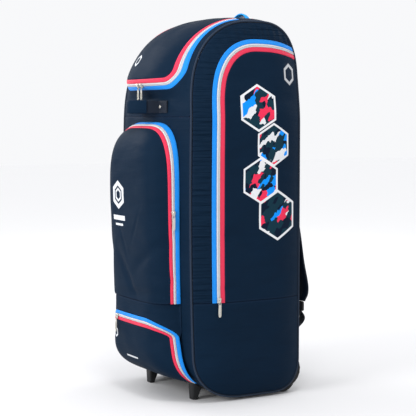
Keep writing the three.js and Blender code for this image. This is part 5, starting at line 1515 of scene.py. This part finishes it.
def build_stage():
    """Pale floor, soft studio lights and the camera at the photo's angle."""
    scene = bpy.context.scene
    stage = scene.kit_stage
    mesh = bpy.data.meshes.new("floor")
    corners = [(-1, -1), (1, -1), (1, 1), (-1, 1)]
    mesh.from_pydata([(x * FLOOR_HALF, y * FLOOR_HALF, 0) for x, y in corners], [], [(0, 1, 2, 3)])
    floor = bpy.data.objects.new("floor", mesh)
    scene.collection.objects.link(floor)
    shader = Shader("pale_floor", {"Roughness": 0.9, "Specular IOR Level": 0.1})
    x, y, _ = shader.parts(shader.place())
    # Painted light: the floor is painted brighter away from the bag, standing in for the lamps' light that falls off
    # with distance, so the far floor meets the backdrop
    far = shader.step(0.5, 13.0, x * x + y * y)
    shade = shader.blend(far, colour(stage.floor_colour), FAR_FLOOR_PAINTED_LIGHT)
    mesh.materials.append(shader.finish(Base_Color=shade))

    scene.world = bpy.data.worlds.new("studio")
    scene.world.use_nodes = True
    background = scene.world.node_tree.nodes["Background"]
    background.inputs[0].default_value = colour(stage.world_colour)
    background.inputs[1].default_value = stage.world_strength
    scene.view_settings.view_transform = "Standard"

    for name, place, width, share in LAMPS:
        light = bpy.data.lights.new(name, "AREA")
        light.energy = stage.key_energy * share
        light.size = width
        lamp = bpy.data.objects.new(name, light)
        lamp.location = place
        lamp.rotation_euler = (LAMP_TARGET - Vector(place)).to_track_quat("-Z", "Y").to_euler()
        scene.collection.objects.link(lamp)

    lens = bpy.data.cameras.new("photo_camera")
    lens.lens = stage.lens
    lens.sensor_width = 36.0
    lens.clip_end = 60.0
    camera = bpy.data.objects.new("photo_camera", lens)
    camera.location = CAMERA_PLACE + Vector((0, SHIFT * MM, 0))
    yaw, pitch = math.radians(CAMERA_YAW), math.radians(CAMERA_PITCH)
    view = Vector((-math.sin(yaw) * math.cos(pitch), math.cos(yaw) * math.cos(pitch), -math.sin(pitch)))
    camera.rotation_euler = view.to_track_quat("-Z", "Y").to_euler()
    scene.collection.objects.link(camera)
    scene.camera = camera


# Settings, operators and panel

def swatch(name, description, default):
    """A colour that a user can change."""
    return FloatVectorProperty(
        name=name, description=description, default=default, min=0, max=1, subtype="COLOR", size=3)


class KitBagSettings(bpy.types.PropertyGroup):
    """Colours and small sizes of the bag."""

    cloth: swatch("Cloth", "Colour of the main cloth", (0.0018, 0.0096, 0.0235))
    blue: swatch("Blue", "Outer edge of the zip tapes", (0.005, 0.25, 0.80))
    grey: swatch("Coil", "Coil of the zip tapes", (0.70, 0.715, 0.73))
    red: swatch("Red", "Inner edge of the zip tapes", (0.74, 0.032, 0.085))
    piping: swatch("Piping", "Cord in the side seams", (0.012, 0.022, 0.042))
    webbing: swatch("Webbing", "Straps, grip and padded backs", (0.0035, 0.0075, 0.016))
    plastic: swatch("Plastic", "Base, feet, housings, wheels and buckles", (0.005, 0.0058, 0.007))
    metal: swatch("Metal", "Zip pullers and rivets", (0.66, 0.64, 0.58))
    gather_depth: FloatProperty(
        name="Gathers", description="Depth in millimetres of the gathers beside the side zips",
        default=1.5, min=0.0, max=2.0)


class KitStageSettings(bpy.types.PropertyGroup):
    """Floor, lights and lens."""

    floor_colour: swatch("Floor", "Colour of the floor near the bag", (0.68, 0.68, 0.69))
    world_colour: swatch("Backdrop", "Colour of the surroundings", (0.92, 0.925, 0.94))
    world_strength: FloatProperty(
        name="Backdrop light", description="Strength of the surroundings", default=1.02, min=0, max=5)
    key_energy: FloatProperty(
        name="Key light", description="Power of the key light", default=62.0, min=0, max=1000, unit="POWER")
    lens: FloatProperty(
        name="Lens", description="Focal length", default=107.45, min=20, max=300, unit="CAMERA")


def build_step(name, label, note, build):
    """The operator of one group of pieces."""
    class Step(bpy.types.Operator):
        __doc__ = note
        bl_idname = f"kitbag.{name}"
        bl_label = label
        bl_options = {"REGISTER", "UNDO"}

        def execute(self, context):
            build()
            return {"FINISHED"}

    Step.__name__ = f"KITBAG_OT_{name}"
    return Step


OPERATORS = tuple(build_step(*row) for row in (
    ("stage", "Studio", "Builds the floor, the lights and the camera", build_stage),
    ("body", "Body panels", "Builds the front, top and back panels of the strip", build_body),
    ("dome", "Domed top pocket", "Builds the upper front, the domed pocket and its zip", build_dome),
    ("front_pocket", "Front pocket", "Builds the front pocket and its zip", build_front_pocket),
    ("shoe_pocket", "Shoe pocket", "Builds the shoe pocket, its zip and the band above it", build_shoe_pocket),
    ("sides", "Side panels", "Builds both side panels and their zips", build_sides),
    ("piping", "Seam piping", "Builds the cord in both side seams", build_piping),
    ("feet", "Front feet", "Builds the two front feet", build_feet),
    ("wheels", "Rear wheels", "Builds the two rear wheels", build_wheels),
    ("straps", "Shoulder straps", "Builds the padded straps, buckles and webbing", build_straps),
    ("handles", "Handles", "Builds the front grab handle and the striped top handle", build_handles),
    ("pullers", "Zip pullers", "Builds the zip sliders and pull tabs", build_pullers),
))


class KITBAG_PT_panel(bpy.types.Panel):
    """Settings and steps of the kit bag"""

    bl_idname = "KITBAG_PT_panel"
    bl_label = "Cricket Kit Bag"
    bl_space_type = "VIEW_3D"
    bl_region_type = "UI"
    bl_category = "Kit Bag"

    def draw(self, context):
        for settings in (context.scene.kit_bag, context.scene.kit_stage):
            for name in settings.__annotations__:
                self.layout.prop(settings, name)
        for step in OPERATORS:
            self.layout.operator(step.bl_idname)


CLASSES = (KitBagSettings, KitStageSettings, *OPERATORS, KITBAG_PT_panel)


def register():
    """Adds the settings, operators and panel to Blender."""
    for item in CLASSES:
        bpy.utils.register_class(item)
    bpy.types.Scene.kit_bag = PointerProperty(type=KitBagSettings)
    bpy.types.Scene.kit_stage = PointerProperty(type=KitStageSettings)


def unregister():
    """Takes them out again."""
    del bpy.types.Scene.kit_stage
    del bpy.types.Scene.kit_bag
    for item in reversed(CLASSES):
        bpy.utils.unregister_class(item)


def main():
    """Builds the studio and the bag in order and notes the two boxes."""
    register()
    for step in OPERATORS:
        group, name = step.bl_idname.split(".")
        if getattr(getattr(bpy.ops, group), name)() != {"FINISHED"}:
            raise RuntimeError(f"{step.bl_label} did not finish")


if __name__ == "__main__":
    main()
